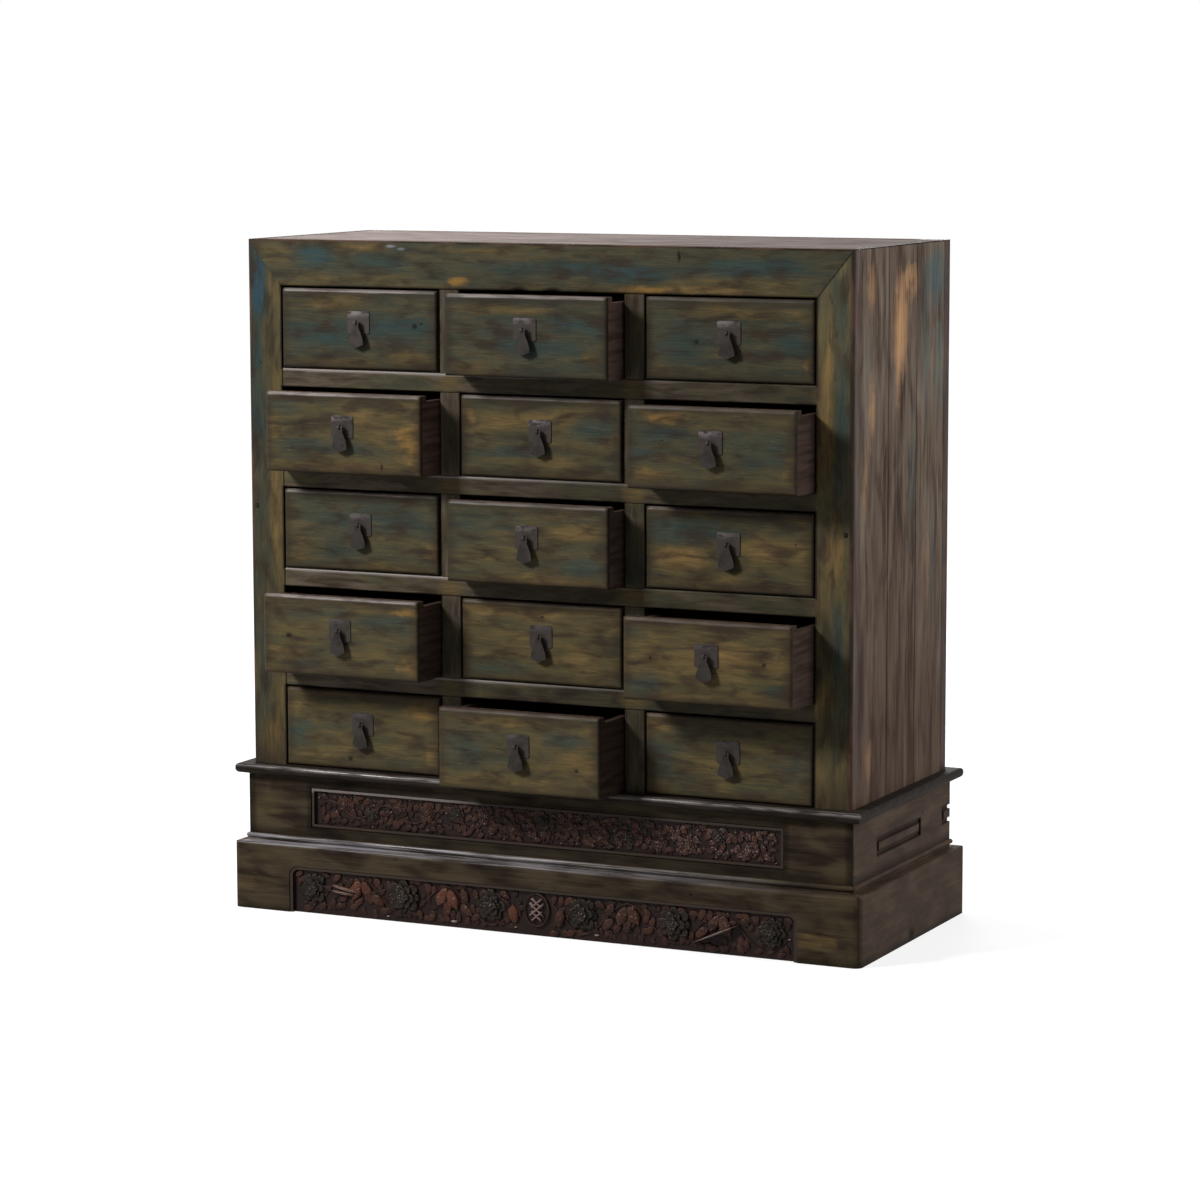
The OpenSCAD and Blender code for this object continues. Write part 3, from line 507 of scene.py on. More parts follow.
class CABINET_OT_stage(bpy.types.Operator):
    """A pale floor, soft lamps and the camera"""

    bl_idname = "cabinet.stage"
    bl_label = "Stage"

    def execute(self, context):
        scene = context.scene
        settings = scene.cabinet.stage
        scene.view_settings.view_transform = "Standard"
        turn = (
            Matrix.Rotation(settings.heading, 4, "Z")
            @ Matrix.Rotation(math.pi / 2 - settings.tilt, 4, "X")
            @ Matrix.Rotation(settings.roll, 4, "Z")
        )
        camera = bpy.data.objects.new("camera", bpy.data.cameras.new("camera"))
        camera.data.lens = settings.lens
        camera.data.clip_end = 60
        camera.matrix_world = Matrix.Translation(settings.place) @ turn
        scene.collection.objects.link(camera)
        scene.camera = camera
        self.lamp("key_lamp", (-2.2, -2.9, 2.9), (0.9, 0.9), settings.key)
        self.lamp("side_lamp", (3.3, 0.35, 1.9), (1.4, 1.4), settings.side)
        self.lamp("top_lamp", (-1.75, 0.3, 3.1), (1.2, 1.5), settings.top)
        self.lamp("back_lamp", (-1.2, 3.2, 2.2), (1.4, 1.4), settings.back)
        self.air(scene, settings.air)
        self.floor(scene)
        return {"FINISHED"}

    def lamp(self, name, place, size, power):
        data = bpy.data.lights.new(name, "AREA")
        data.shape = "RECTANGLE"
        data.size, data.size_y, data.energy = *size, power
        lamp = bpy.data.objects.new(name, data)
        aim = Vector((0, 0, 0.5)) - Vector(place)
        lamp.matrix_world = Matrix.Translation(place) @ aim.to_track_quat("-Z", "Y").to_matrix().to_4x4()
        bpy.context.scene.collection.objects.link(lamp)

    def seen(self, tree):
        """1 for what the camera, a gloss or a glass looks at."""
        path = add_node(tree, "ShaderNodeLightPath").outputs
        result = path["Is Camera Ray"]
        for kind in ("Is Glossy Ray", "Is Transmission Ray"):
            result = add_node(tree, "ShaderNodeMath", {0: result, 1: path[kind]}, operation="MAXIMUM").outputs[0]
        return result

    def air(self, scene, level):
        scene.world = bpy.data.worlds.new("air")
        scene.world.use_nodes = True
        tree = scene.world.node_tree
        back = tree.nodes["Background"]
        back.inputs["Color"].default_value = (1, 1, 1, 1)
        strength = add_node(tree, "ShaderNodeMapRange", {"Value": self.seen(tree), "To Min": level})
        tree.links.new(strength.outputs[0], back.inputs["Strength"])

    def floor(self, scene):
        """A pale floor that keeps the shadow near the cabinet and runs out to plain white."""
        half, below = 14.0, -0.4 * MM
        corners = [(-half, -half, below), (half, -half, below), (half, half, below), (-half, half, below)]
        mesh = bpy.data.meshes.new("floor")
        mesh.from_pydata(corners, [], [(0, 1, 2, 3)])
        floor = bpy.data.objects.new("floor", mesh)
        scene.collection.objects.link(floor)
        f = Finish("pale_floor")
        diffuse = f.add("ShaderNodeBsdfDiffuse", {"Color": (0.36, 0.36, 0.36, 1)})
        far = f.add("ShaderNodeVectorMath", {0: f.place}, operation="LENGTH").outputs["Value"]
        level = f.plus(f.step(far, 1.2, 5.0, 0.26), 0.74)
        glow = f.add("ShaderNodeEmission", {"Strength": f.times(self.seen(f.tree), level)})
        both = f.add("ShaderNodeAddShader", {0: diffuse.outputs[0], 1: glow.outputs[0]})
        f.add("ShaderNodeOutputMaterial", {"Surface": both.outputs[0]})
        mesh.materials.append(f.material)


class CABINET_OT_front_frame(bpy.types.Operator):
    """Streaked paint on the posts, the rails and the uprights between the drawers"""

    bl_idname = "cabinet.front_frame"
    bl_label = "Paint the front frame"

    def execute(self, context):
        wear(self.posts(), "corner_posts")
        wear(self.top_rail(), "frame_rails")
        wear(self.rails("painted_rails", 0), "drawer_rails")
        wear(self.rails("painted_uprights", 2), "uprights")
        return {"FINISHED"}

    def posts(self):
        f = Finish("painted_posts")
        paint, wood = f.paint, f.wood
        weathered(f)
        boards = f.tone
        outer, front = CASE_HIGH.x, CASE_LOW.y
        side = f.abs(f.x)
        left = f.step(f.x, 0.1, -0.1)
        shift = f.total(
            (f.step(side, outer - 22 * MM, outer - 48 * MM), 0.08),
            (left, f.step(f.x, -0.475, -0.495, -0.06)),
            (f.step(f.z, 0.45, 0.95), -0.04),
            f.patches(f.x, f.z, POST_WEAR, (0.016, 0.06)),
        )
        fine, broad, cloud = streaked_paint(f, 2, shift, 11)
        # Painted light: the right post is drawn brighter, most towards its top; the posts are also a little brighter
        # towards their inner edges.
        right = f.step(f.x, 0.1, 0.2)
        lit = f.times(right, f.step(f.z, 0.78, 0.92))
        inner = f.step(side, outer - 30 * MM, outer - 50 * MM)
        f.tone = f.bright(f.tone, f.total((inner, 0.12), (right, 0.22), (lit, 0.3), 0.92))
        f.lay(mitre(f, broad), paint.grime_and_shade)
        f.lay(f.step(f.z, 0.3, 0.235, 0.5), paint.brown)
        edge = f.step(f.total(side, (broad, 5 * MM)), outer - 5 * MM, outer - 0.5 * MM, 0.85)
        f.lay(edge, f.mix(f.step(cloud, 0.42, 0.58), paint.brown, (0.085, 0.042, 0.03)))
        # Painted shade: dark beside the drawers' openings, where the gaps fall into shade.
        outline = f.step(f.total(beside_opening(f), (broad, 2 * MM)), 4.8 * MM, 1.8 * MM, 0.85)
        f.lay(f.times(outline, f.step(f.y, 0.0, -0.1)), paint.grime_and_shade)
        arris = f.step(f.total(f.y, (broad, 4 * MM)), front + 11 * MM, front + 5 * MM, 0.8)
        joint = f.step(f.y, front + 25 * MM, front + 26.5 * MM, 0.7)
        boards = f.mix(0.45, boards, (0.05, 0.03, 0.024))
        glaze = f.mix(f.step(cloud, 0.35, 0.65), paint.grime_and_shade, (0.05, 0.026, 0.02))
        boards = f.mix(f.most(arris, joint), boards, glaze)
        flank = f.step(side, outer - 2.5 * MM, outer - 1 * MM)
        flank = f.times(flank, f.step(f.y, front + 0.5 * MM, front + 2.5 * MM))
        f.lay(flank, boards)
        behind = f.times(f.step(f.y, 0.1, 0.12), f.step(side, outer - 0.5 * MM, outer - 1.5 * MM))
        f.lay(behind, f.mix(f.step(broad, 0.3, 0.7), wood.side_dark, wood.back))
        spots = f.specks((0.03, 0.05, 0.05), 0.07, 1)
        f.lay(spots, paint.grime_and_shade)
        rough = f.total((fine, 0.3), (broad, 0.15), 0.32)
        height = f.total((fine, 0.4), (broad, 0.6), (spots, -0.8))
        return f.surface(rough, height)

    def top_rail(self):
        f = Finish("painted_top_rail")
        paint = f.paint
        low = f.step(f.z, RAIL_UNDER + 17 * MM, RAIL_UNDER + 1 * MM)
        shift = f.total(f.patches(f.x, f.z, RAIL_WEAR, (0.05, 0.01)), (low, 0.05), -0.02)
        fine, broad, cloud = streaked_paint(f, 0, shift, 23)
        f.lay(mitre(f, broad), paint.grime_and_shade)
        corner = f.patches(f.x, f.z, [(-0.492, 1.03, 0.024, 0.02, 0.7)])
        f.lay(corner, paint.brown)
        # Painted shade: dark beside the drawers' openings, where the gaps fall into shade.
        outline = f.step(f.total(beside_opening(f), (broad, 3 * MM)), 5 * MM, 1.8 * MM, 0.85)
        f.lay(outline, paint.grime_and_shade)
        chips = f.least(f.patches(f.x, f.z, RAIL_CHIPS, (0.012, 0.006)), 1.0)
        f.lay(chips, paint.grime_and_shade)
        f.lay(f.patches(f.x, f.z, RAIL_PALE, (0.01, 0.004)), (0.22, 0.24, 0.28))
        rim = f.step(f.total(f.z, (broad, 4 * MM)), CASE_HIGH.z - 1.5 * MM, CASE_HIGH.z + 0.5 * MM, 0.9)
        f.lay(rim, f.mix(f.step(cloud, 0.4, 0.6), paint.brown, (0.085, 0.05, 0.036)))
        spots = f.specks((0.05, 0.05, 0.03), 0.06, 2)
        f.lay(spots, paint.grime_and_shade)
        backed(f, broad)
        rough = f.total((fine, 0.3), (broad, 0.15), (rim, 0.5), 0.32)
        height = f.total((fine, 0.4), (broad, 0.6), (spots, -0.8), (chips, -2.0))
        return f.surface(rough, height)

    def rails(self, name, along):
        """Rails and uprights, rubbed brown, with painted shade beside the openings and ochre where they cross; the
        rails have a pale upper edge at the left, partly painted highlight.
        """
        f = Finish(name)
        paint = f.paint
        fine, broad, cloud = streaked_paint(f, along, 0.02, 31 + along)
        worn = f.mix(f.step(broad, 0.3, 0.7), paint.brown, (0.088, 0.07, 0.056))
        f.lay(f.step(cloud, 0.38, 0.58, 0.8), worn)
        half_x, half_z = COLUMN_PITCH / 2, ROW_PITCH / 2
        across = f.abs(f.wrap(f.x, half_x))
        from_foot = f.wrap(f.minus(f.z, LEDGE_HIGH.z), half_z)
        up = f.abs(f.wrap(f.minus(f.z, LEDGE_HIGH.z + OPENING_TALL / 2), half_z))
        f.tone = f.bright(f.tone, f.total((f.step(f.x, 0.0, -0.3), 0.48), (f.step(f.x, 0.15, 0.25), 0.1), 0.78))
        crossing = f.patches(across, up, [(half_x, half_z, 0.024, 0.018, 0.75)], (0.02, 0.012))
        f.lay(crossing, f.mix(f.step(fine, 0.4, 0.6), paint.olive, paint.ochre))
        # Painted shade beside the openings.
        dark = f.step(f.total(beside_opening(f), (broad, 3 * MM)), 4.8 * MM, 1.8 * MM, 0.85)
        line = 0.0
        # A pale line along each rail's upper edge, strongest at the left: partly worn edge, partly painted highlight.
        if along == 0:
            line = f.step(f.total(from_foot, (broad, 2 * MM)), -4.5 * MM, -1.5 * MM)
            line = f.times(line, f.math("LESS_THAN", from_foot, 2 * MM), f.step(f.x, 0.3, -0.25))
            dark = f.times(dark, f.step(from_foot, -6 * MM, -12 * MM))
        f.lay(dark, paint.grime_and_shade)
        if along == 0:
            f.lay(f.times(line, 0.45), paint.bare)
            line = f.times(line, 0.3)
        backed(f, broad)
        rough = f.total((fine, 0.3), 0.34)
        return f.surface(rough, f.total((fine, 0.4), (broad, 0.6)), coat=line, coat_rough=0.4)


# How each drawer is worn: by how much, how bright its upper edge is at the left and the right (partly worn wood,
# partly a painted highlight), and soft patches
# as shares of the front: (across, up, half width, half height, wear)
DRAWER_WEAR = {
    "r1c1": (-0.07, (0.8, 0.8), [
        (-0.3, 0.62, 0.6, 0.26, 0.2), (0.3, 0.05, 0.8, 0.42, -0.15), (-0.5, -0.15, 0.6, 0.36, -0.14),
        (0.7, -0.65, 0.4, 0.3, 0.18), (-0.4, -0.85, 0.7, 0.2, 0.16),
    ]),
    "r1c2": (-0.08, (0.9, 0.5), [
        (-0.2, 0.66, 0.8, 0.16, 0.2), (-0.7, 0.3, 0.3, 0.3, 0.06), (0.7, 0.3, 0.5, 0.3, -0.13),
        (0.2, -0.2, 0.9, 0.25, -0.1), (-0.7, -0.78, 0.35, 0.22, 0.18), (0.9, -0.4, 0.14, 0.35, 0.2),
    ]),
    "r1c3": (-0.06, (0.35, 0.1), [
        (0.0, 0.65, 0.9, 0.2, 0.18), (0.8, 0.0, 0.3, 0.5, -0.14), (-0.5, -0.1, 0.5, 0.3, -0.1),
        (-0.4, -0.75, 0.8, 0.16, 0.14), (0.95, -0.6, 0.08, 0.3, 0.3),
    ]),
    "r2c1": (0.04, (0.9, 0.8), [
        (-0.75, 0.65, 0.35, 0.25, -0.14), (0.86, -0.2, 0.18, 0.7, 0.34), (-0.2, -0.3, 0.7, 0.22, -0.16),
        (-0.1, -0.8, 0.9, 0.18, 0.16), (-0.92, 0.0, 0.12, 0.5, 0.16), (0.3, 0.35, 0.5, 0.25, 0.08),
    ]),
    "r2c2": (0.03, (0.7, 0.5), [
        (-0.2, 0.45, 0.8, 0.26, 0.14), (0.65, 0.25, 0.34, 0.45, -0.2), (-0.3, -0.35, 0.8, 0.16, -0.18),
        (-0.9, 0.6, 0.12, 0.3, 0.24), (0.1, -0.8, 0.8, 0.2, 0.06),
    ]),
    "r2c3": (0.0, (0.35, 0.2), [
        (-0.6, 0.75, 0.3, 0.18, 0.42), (-0.55, 0.35, 0.4, 0.22, -0.16), (0.5, 0.1, 0.5, 0.5, -0.16),
        (-0.75, -0.65, 0.3, 0.2, 0.24), (0.9, -0.3, 0.12, 0.5, 0.12), (-0.8, -0.15, 0.25, 0.15, -0.16),
    ]),
    "r3c1": (-0.04, (0.7, 0.7), [
        (-0.8, -0.45, 0.3, 0.35, 0.16), (0.2, 0.3, 0.9, 0.4, -0.1), (0.3, -0.85, 0.7, 0.15, 0.14),
        (0.95, -0.5, 0.1, 0.3, 0.2),
    ]),
    "r3c2": (-0.01, (0.5, 0.4), [
        (-0.6, 0.55, 0.6, 0.3, -0.12), (0.6, 0.35, 0.5, 0.35, 0.14), (0.75, -0.45, 0.3, 0.25, -0.2),
        (0.2, -0.85, 0.9, 0.18, 0.18), (-0.5, -0.3, 0.5, 0.2, 0.08),
    ]),
    "r3c3": (0.02, (0.6, 0.05), [
        (-0.5, 0.45, 0.7, 0.4, -0.2), (-0.6, -0.25, 0.4, 0.4, 0.26), (0.55, 0.0, 0.6, 0.45, 0.14),
        (0.2, -0.75, 0.9, 0.2, 0.06),
    ]),
    "r4c1": (0.03, (0.9, 0.8), [
        (-0.3, 0.6, 0.7, 0.2, -0.12), (0.62, 0.45, 0.4, 0.28, -0.16), (0.85, 0.72, 0.15, 0.12, 0.34),
        (-0.7, -0.4, 0.4, 0.4, 0.12), (0.88, -0.6, 0.18, 0.35, 0.26), (-0.55, -0.75, 0.3, 0.2, -0.14),
    ]),
    "r4c2": (0.06, (0.3, 0.2), [
        (-0.4, 0.75, 0.8, 0.16, 0.12), (-0.5, -0.65, 0.6, 0.25, -0.14), (0.6, -0.2, 0.5, 0.4, 0.06),
    ]),
    "r4c3": (0.08, (0.3, 0.2), [
        (-0.75, -0.6, 0.3, 0.35, -0.18), (0.4, 0.1, 0.8, 0.5, 0.1), (-0.85, 0.6, 0.2, 0.3, -0.12),
        (0.8, -0.55, 0.15, 0.15, -0.2),
    ]),
    "r5c1": (0.04, (0.1, 0.05), [
        (0.8, 0.6, 0.3, 0.3, 0.2), (-0.85, -0.1, 0.25, 0.45, -0.2), (0.0, -0.2, 0.7, 0.4, 0.04),
        (0.95, -0.3, 0.1, 0.5, 0.16), (-0.8, 0.7, 0.3, 0.2, 0.12),
    ]),
    "r5c2": (0.04, (0.3, 0.2), [
        (0.55, 0.42, 0.35, 0.22, -0.18), (-0.2, 0.75, 0.8, 0.14, 0.14), (0.75, -0.2, 0.35, 0.4, 0.14),
        (-0.75, -0.1, 0.35, 0.6, -0.14), (0.85, 0.7, 0.2, 0.15, 0.16),
    ]),
    "r5c3": (0.03, (0.4, 0.0), [
        (-0.85, 0.7, 0.2, 0.2, 0.22), (-0.85, 0.0, 0.2, 0.6, -0.14), (0.85, 0.0, 0.2, 0.6, -0.08),
        (0.0, 0.0, 0.6, 0.6, 0.03),
    ]),
}
# Knots and dark marks on the fronts, in the same shares
DRAWER_MARKS = {
    "r1c1": [(0.72, 0.12, 0.04, 0.09), (0.8, 0.18, 0.025, 0.05)],
    "r1c3": [(-0.38, -0.06, 0.035, 0.07)],
    "r2c1": [(0.5, -0.8, 0.02, 0.12)],
    "r4c1": [(-0.66, -0.02, 0.05, 0.08)],
    "r4c2": [(0.02, 0.66, 0.03, 0.04)],
    "r4c3": [(0.68, 0.05, 0.03, 0.06), (-0.66, 0.05, 0.02, 0.05)],
    "r5c1": [(-0.16, -0.72, 0.04, 0.08)],
    "r5c2": [(0.72, -0.32, 0.03, 0.05)],
}


class CABINET_OT_drawers(bpy.types.Operator):
    """Streaked paint on the drawers' fronts and bare wood behind them"""

    bl_idname = "cabinet.drawers"
    bl_label = "Paint the drawers"

    def execute(self, context):
        for index, name in enumerate(DRAWERS):
            wear(self.drawer(name, index), name)
        return {"FINISHED"}

    def drawer(self, name, index):
        low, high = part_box(name)
        tall = FRONT_HIGH.z - FRONT_LOW.z
        middle = (low + high) / 2
        middle.z = low.z + tall / 2
        half = ((high.x - low.x) / 2, tall / 2)
        place = name[-4:]
        f = Finish("paint_" + name)
        paint, wood = f.paint, f.wood
        across, up = f.minus(f.x, middle.x), f.minus(f.z, middle.z)

        def spread(spots):
            """Shares of the front as lengths."""
            return [(s[0] * half[0], s[1] * half[1], s[2] * half[0], s[3] * half[1], *s[4:]) for s in spots]

        lean, (rim_highlight_left, rim_highlight_right), spots = DRAWER_WEAR[place]
        shift = f.total(f.patches(across, up, spread(spots)), lean)
        fine, broad, _ = streaked_paint(f, 0, shift, 41 + index * 3)
        marks = [(*mark, 1.0) for mark in DRAWER_MARKS.get(place, [])]
        dots = f.specks((0.045, 0.05, 0.03), 0.05, index)
        if marks:
            dots = f.most(dots, f.patches(across, up, spread(marks), (0.004, 0.004)))
        f.lay(f.times(dots, 0.85), paint.grime_and_shade)
        edge_x = f.minus(half[0], f.abs(across))
        foot = f.plus(up, half[1])
        head = f.minus(half[1], up)
        near = f.total(f.least(edge_x, head, foot), (broad, 12 * MM), -6 * MM)
        f.lay(f.step(near, 22 * MM, 2 * MM, 0.62), paint.brown)
        # Painted shade: dark along the sides and foot of the front, where the gaps fall into shade.
        outline = f.total(f.least(edge_x, foot), (broad, 3 * MM))
        f.lay(f.step(outline, 5 * MM, 1.8 * MM, 0.62), paint.grime_and_shade)
        down = (CASE_HIGH.z - middle.z) / (CASE_HIGH.z - LEDGE_HIGH.z)
        f.tone = f.bright(f.tone, 0.9 + 0.3 * down)
        # The pale upper edge, partly worn wood and partly a painted highlight, as bright at each end as the table
        # gives.
        reach = f.total((across, (rim_highlight_right - rim_highlight_left) / (2 * half[0])), (rim_highlight_right + rim_highlight_left) / 2)
        rim = f.step(f.total(head, (broad, -3 * MM)), 4.8 * MM, 1.2 * MM)
        rim = f.times(rim, f.step(edge_x, 2 * MM, 8 * MM))
        rubbing = f.step(f.noise((0.045, 0.01, 0.01), 3, 0.5, index + 17), 0.36, 0.58)
        rim = f.times(rim, reach, f.total((rubbing, 0.6), 0.4))
        f.lay(f.times(rim, 0.5), paint.bare)
        behind = f.step(f.y, low.y + 4.2 * MM, low.y + 5.8 * MM)
        length_grain = f.noise((0.007, 0.09, 0.007), 3, 0.5, index, 0.2)
        flank = f.mix(f.step(length_grain, 0.2, 0.7), paint.brown, paint.flank)
        # Painted light: the flanks drawn brighter towards the top in the left and middle columns, and darker in the
        # right column.
        level = f.plus(f.step(f.z, 0.25, 0.8, 0.65), 0.5) if middle.x < 0.1 else 0.5
        flank = f.bright(flank, level)
        f.lay(behind, flank)
        inside = f.step(f.y, low.y + 16.5 * MM, low.y + 17.5 * MM)
        walls = f.step(f.abs(across), half[0] - 14 * MM, half[0] - 12.5 * MM)
        cross_grain = f.total((broad, 0.6), (fine, 0.4))
        streak = f.total((walls, f.minus(length_grain, cross_grain)), cross_grain)
        board = f.mix(f.step(streak, 0.35, 0.65), wood.side_dark, wood.inner)
        within = f.step(f.abs(across), half[0] - 10.5 * MM, half[0] - 11.5 * MM)
        f.lay(f.times(inside, within), board)
        rough = f.total((fine, 0.3), (broad, 0.15), 0.3)
        height = f.total((fine, 0.4), (broad, 0.6), (dots, -0.8))
        coat = f.times(rim, f.total((behind, -0.32), 0.32))
        return f.surface(rough, height, coat=coat, coat_rough=0.4)


class CABINET_OT_bare_wood(bpy.types.Operator):
    """Weathered wood on the sides, the top, the back and inside"""

    bl_idname = "cabinet.bare_wood"
    bl_label = "Finish the bare wood"

    def execute(self, context):
        wear(self.sides(), "side_panels")
        wear(self.top(), "top_boards")
        wear(self.back(), "back_panel")
        wear(self.plain("shelf_wood", 0, 67), "drawer_shelves")
        wear(self.plain("runner_wood", 1, 71), "dividers", "drawer_guides")
        return {"FINISHED"}

    def sides(self):
        f = Finish("side_wood")
        fine, broad, cracks = weathered(f)
        height = f.total((fine, 0.4), (broad, 0.6), (cracks, -0.8))
        return f.surface(f.total((fine, 0.3), 0.5), height, 1.4 * MM, 0.02)

    def top(self):
        f = Finish("top_wood")
        wood = f.wood
        fine, broad, cloud = grain(f, 0, 55)
        streak = f.total((broad, 0.5), (fine, 0.3), (cloud, 0.3), -0.05)
        f.tone = f.ramp(streak, (0.35, wood.side), (0.52, wood.top), (0.75, (0.38, 0.33, 0.322)))
        # Painted light: the top drawn darker towards the right.
        f.tone = f.bright(f.tone, f.minus(1.18, f.step(f.x, -0.3, 0.35, 0.36)))
        return f.surface(f.total((fine, 0.2), 0.75), f.total((fine, 0.5), (broad, 0.5)), 1.0 * MM, 0.0)

    def back(self):
        """The five back boards, each of its own tone, with dark joints."""
        f = Finish("back_wood")
        wood, paint = f.wood, f.paint
        fine, broad, cloud = grain(f, 2, 61)
        low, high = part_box("back_panel")
        board = f.times(f.minus(f.x, low.x), BACK_BOARDS / (high.x - low.x))
        streak = f.total((broad, 0.42), (fine, 0.34), (cloud, 0.3), (f.each(board), 0.16), -0.13)
        f.tone = f.ramp(streak, (0.32, wood.side_dark), (0.52, wood.back), (0.78, wood.side))
        joint = f.step(f.abs(f.wrap(board, 0.5)), 0.014, 0.005, 0.8)
        f.lay(joint, paint.grime_and_shade)
        height = f.total((fine, 0.5), (broad, 0.5), (joint, -1.5))
        return f.surface(f.total((fine, 0.15), 0.6), height)

    def plain(self, name, along, seed):
        f = Finish(name)
        wood = f.wood
        fine, broad, cloud = grain(f, along, seed)
        streak = f.total((broad, 0.5), (fine, 0.4), (cloud, 0.3), -0.1)
        f.tone = f.ramp(streak, (0.32, wood.side_dark), (0.52, wood.inner), (0.75, wood.side_pale))
        return f.surface(f.total((fine, 0.15), 0.6), f.total((fine, 0.5), (broad, 0.5)))


class CABINET_OT_base(bpy.types.Operator):
    """Dark worn paint on the ledge, the waist and the plinth"""

    bl_idname = "cabinet.base"
    bl_label = "Finish the base"

    def execute(self, context):
        wear(self.ledge(), "ledge_frame")
        wear(self.painted("waist_paint", WAIST_LOW, WAIST_HIGH, None, 81), "waist_frame")
        shoulder = (PLINTH_TOP - 15.5 * MM, PLINTH_TOP)
        wear(self.painted("plinth_paint", PLINTH_LOW, PLINTH_HIGH, shoulder, 87), "plinth_frame")
        wear(carved_wood(), "waist_carving", "plinth_carving")
        return {"FINISHED"}

    def ledge(self):
        f = Finish("ledge_lacquer")
        fine, broad, _ = grain(f, 0, 75)
        f.tone = f.mix(f.step(broad, 0.38, 0.66), (0.011, 0.009, 0.007), (0.027, 0.02, 0.016))
        # A pale broken line along the top of the nose, brightest at the left: partly worn edge, partly painted
        # highlight.
        front = f.step(f.y, LEDGE_LOW.y + 8 * MM, LEDGE_LOW.y + 5.5 * MM)
        high = f.step(f.total(f.z, (broad, 2 * MM)), LEDGE_HIGH.z - 6 * MM, LEDGE_HIGH.z - 3 * MM)
        along = f.total((f.step(f.x, -0.5, -0.34), 0.55), (f.step(f.x, -0.1, 0.1), -0.25), 0.25)
        broken = f.step(f.noise((0.05, 0.004, 0.004), 4, 0.6, 76), 0.3, 0.62)
        nose = f.times(front, high, along, broken)
        f.lay(f.times(nose, 0.5), f.paint.bare)
        rough, height = f.total((broad, 0.2), 0.45), f.total((fine, 0.3), (broad, 0.7))
        return f.surface(rough, height, 1.0 * MM, 0.03, f.times(nose, 0.8), 0.3)

    def painted(self, name, low, high, rubbed, seed):
        """Olive-brown paint, whose grain follows each board.

        The plinth's is rubbed grey in front between two heights, partly worn and partly painted highlight. The
        waist's has none, but painted shade in its rings, round its panel and at its front corners.
        """
        f = Finish(name)
        paint = f.paint
        from_side = f.minus(high.x, f.abs(f.x))
        from_front = f.minus(f.y, low.y)
        from_end = f.least(from_front, f.minus(high.y, f.y))
        flank = f.math("LESS_THAN", from_side, from_end)
        ahead = f.times(f.minus(1.0, flank), f.math("LESS_THAN", f.y, 0.0))
        turned = f.add("ShaderNodeCombineXYZ", {0: f.y, 1: f.x, 2: f.z}).outputs[0]
        place = f.add("ShaderNodeMix", {0: flank, 4: f.place, 5: turned}, data_type="VECTOR").outputs[1]
        fine = f.noise((0.05, 0.0017, 0.0017), 4, 0.62, seed, at=place)
        broad = f.noise((0.09, 0.01, 0.01), 4, 0.55, seed + 1, 0.5, at=place)
        cloud = f.noise((0.08, 0.035, 0.035), 3, 0.45, seed + 2, 0.5, at=place)
        streak = f.total((broad, 0.42), (fine, 0.15), (cloud, 0.65), -0.11)
        front = f.ramp(
            streak,
            (0.26, paint.grime_and_shade),
            (0.42, paint.brown),
            (0.58, (0.052, 0.039, 0.024)),
            (0.84, (0.066, 0.05, 0.027)),
        )
        side = f.ramp(
            streak,
            (0.24, paint.brown),
            (0.46, (0.046, 0.031, 0.023)),
            (0.62, (0.072, 0.05, 0.036)),
            (0.84, (0.098, 0.068, 0.046)),
        )
        f.tone = f.mix(ahead, side, front)
        corner = f.step(from_side, 0.1, 0.04, 0.4)
        green = f.times(corner, f.step(cloud, 0.4, 0.6))
        f.lay(f.times(green, ahead), (0.064, 0.05, 0.025))
        warm = f.patches(f.x, f.z, BASE_WARM)
        f.lay(f.times(warm, ahead), f.mix(f.step(broad, 0.35, 0.65), paint.brown, paint.ochre))
        spots = f.specks((0.05, 0.05, 0.04), 0.06, 5)
        f.lay(spots, paint.grime_and_shade)
        f.lay(f.step(f.z, low.z + 18 * MM, low.z, 0.6), paint.grime_and_shade)
        knot = f.patches(f.y, f.z, [(-0.01, 0.01, 0.014, 0.014, 0.9)], (0.01, 0.01))
        f.lay(f.times(knot, flank), paint.grime_and_shade)
        f.lay(f.step(f.abs(f.minus(from_side, from_end)), 6 * MM, 1.5 * MM, 0.6), paint.brown)
        if not rubbed:
            # Painted shade in the sunk rings' grooves, round the panel and at the front corners.
            f.lay(f.times(self.rings(f), flank), (0.016, 0.01, 0.007))
            dark = f.most(self.round_panel(f, broad), f.step(from_side, 16 * MM, 6 * MM, 0.6))
            f.lay(f.times(dark, ahead), paint.grime_and_shade)
        f.tone = f.bright(f.tone, f.total((fine, 0.6), 0.72))
        rough = f.total((fine, 0.3), (broad, 0.1), 0.42)
        height = f.total((fine, 0.4), (broad, 0.6), (spots, -0.8))
        if not rubbed:
            return f.surface(rough, height, specular=0.03)
        foot, head = rubbed
        # Pale band on the plinth's moulding: partly worn paint, partly painted highlight that fades out to the right.
        band = f.times(f.step(f.z, foot, foot + 3 * MM), f.step(f.z, head, head - 2 * MM), ahead)
        lines = f.noise((0.12, 0.0016, 0.0016), 4, 0.6, seed + 3)
        lines = f.step(f.total(lines, (cloud, 0.3), -0.15), 0.36, 0.62)
        band = f.times(band, lines, f.step(f.x, 0.52, -0.1))
        f.lay(f.times(band, 0.8), (0.3, 0.28, 0.3))
        return f.surface(rough, height, specular=0.03, coat=f.times(band, 0.6), coat_rough=0.45)

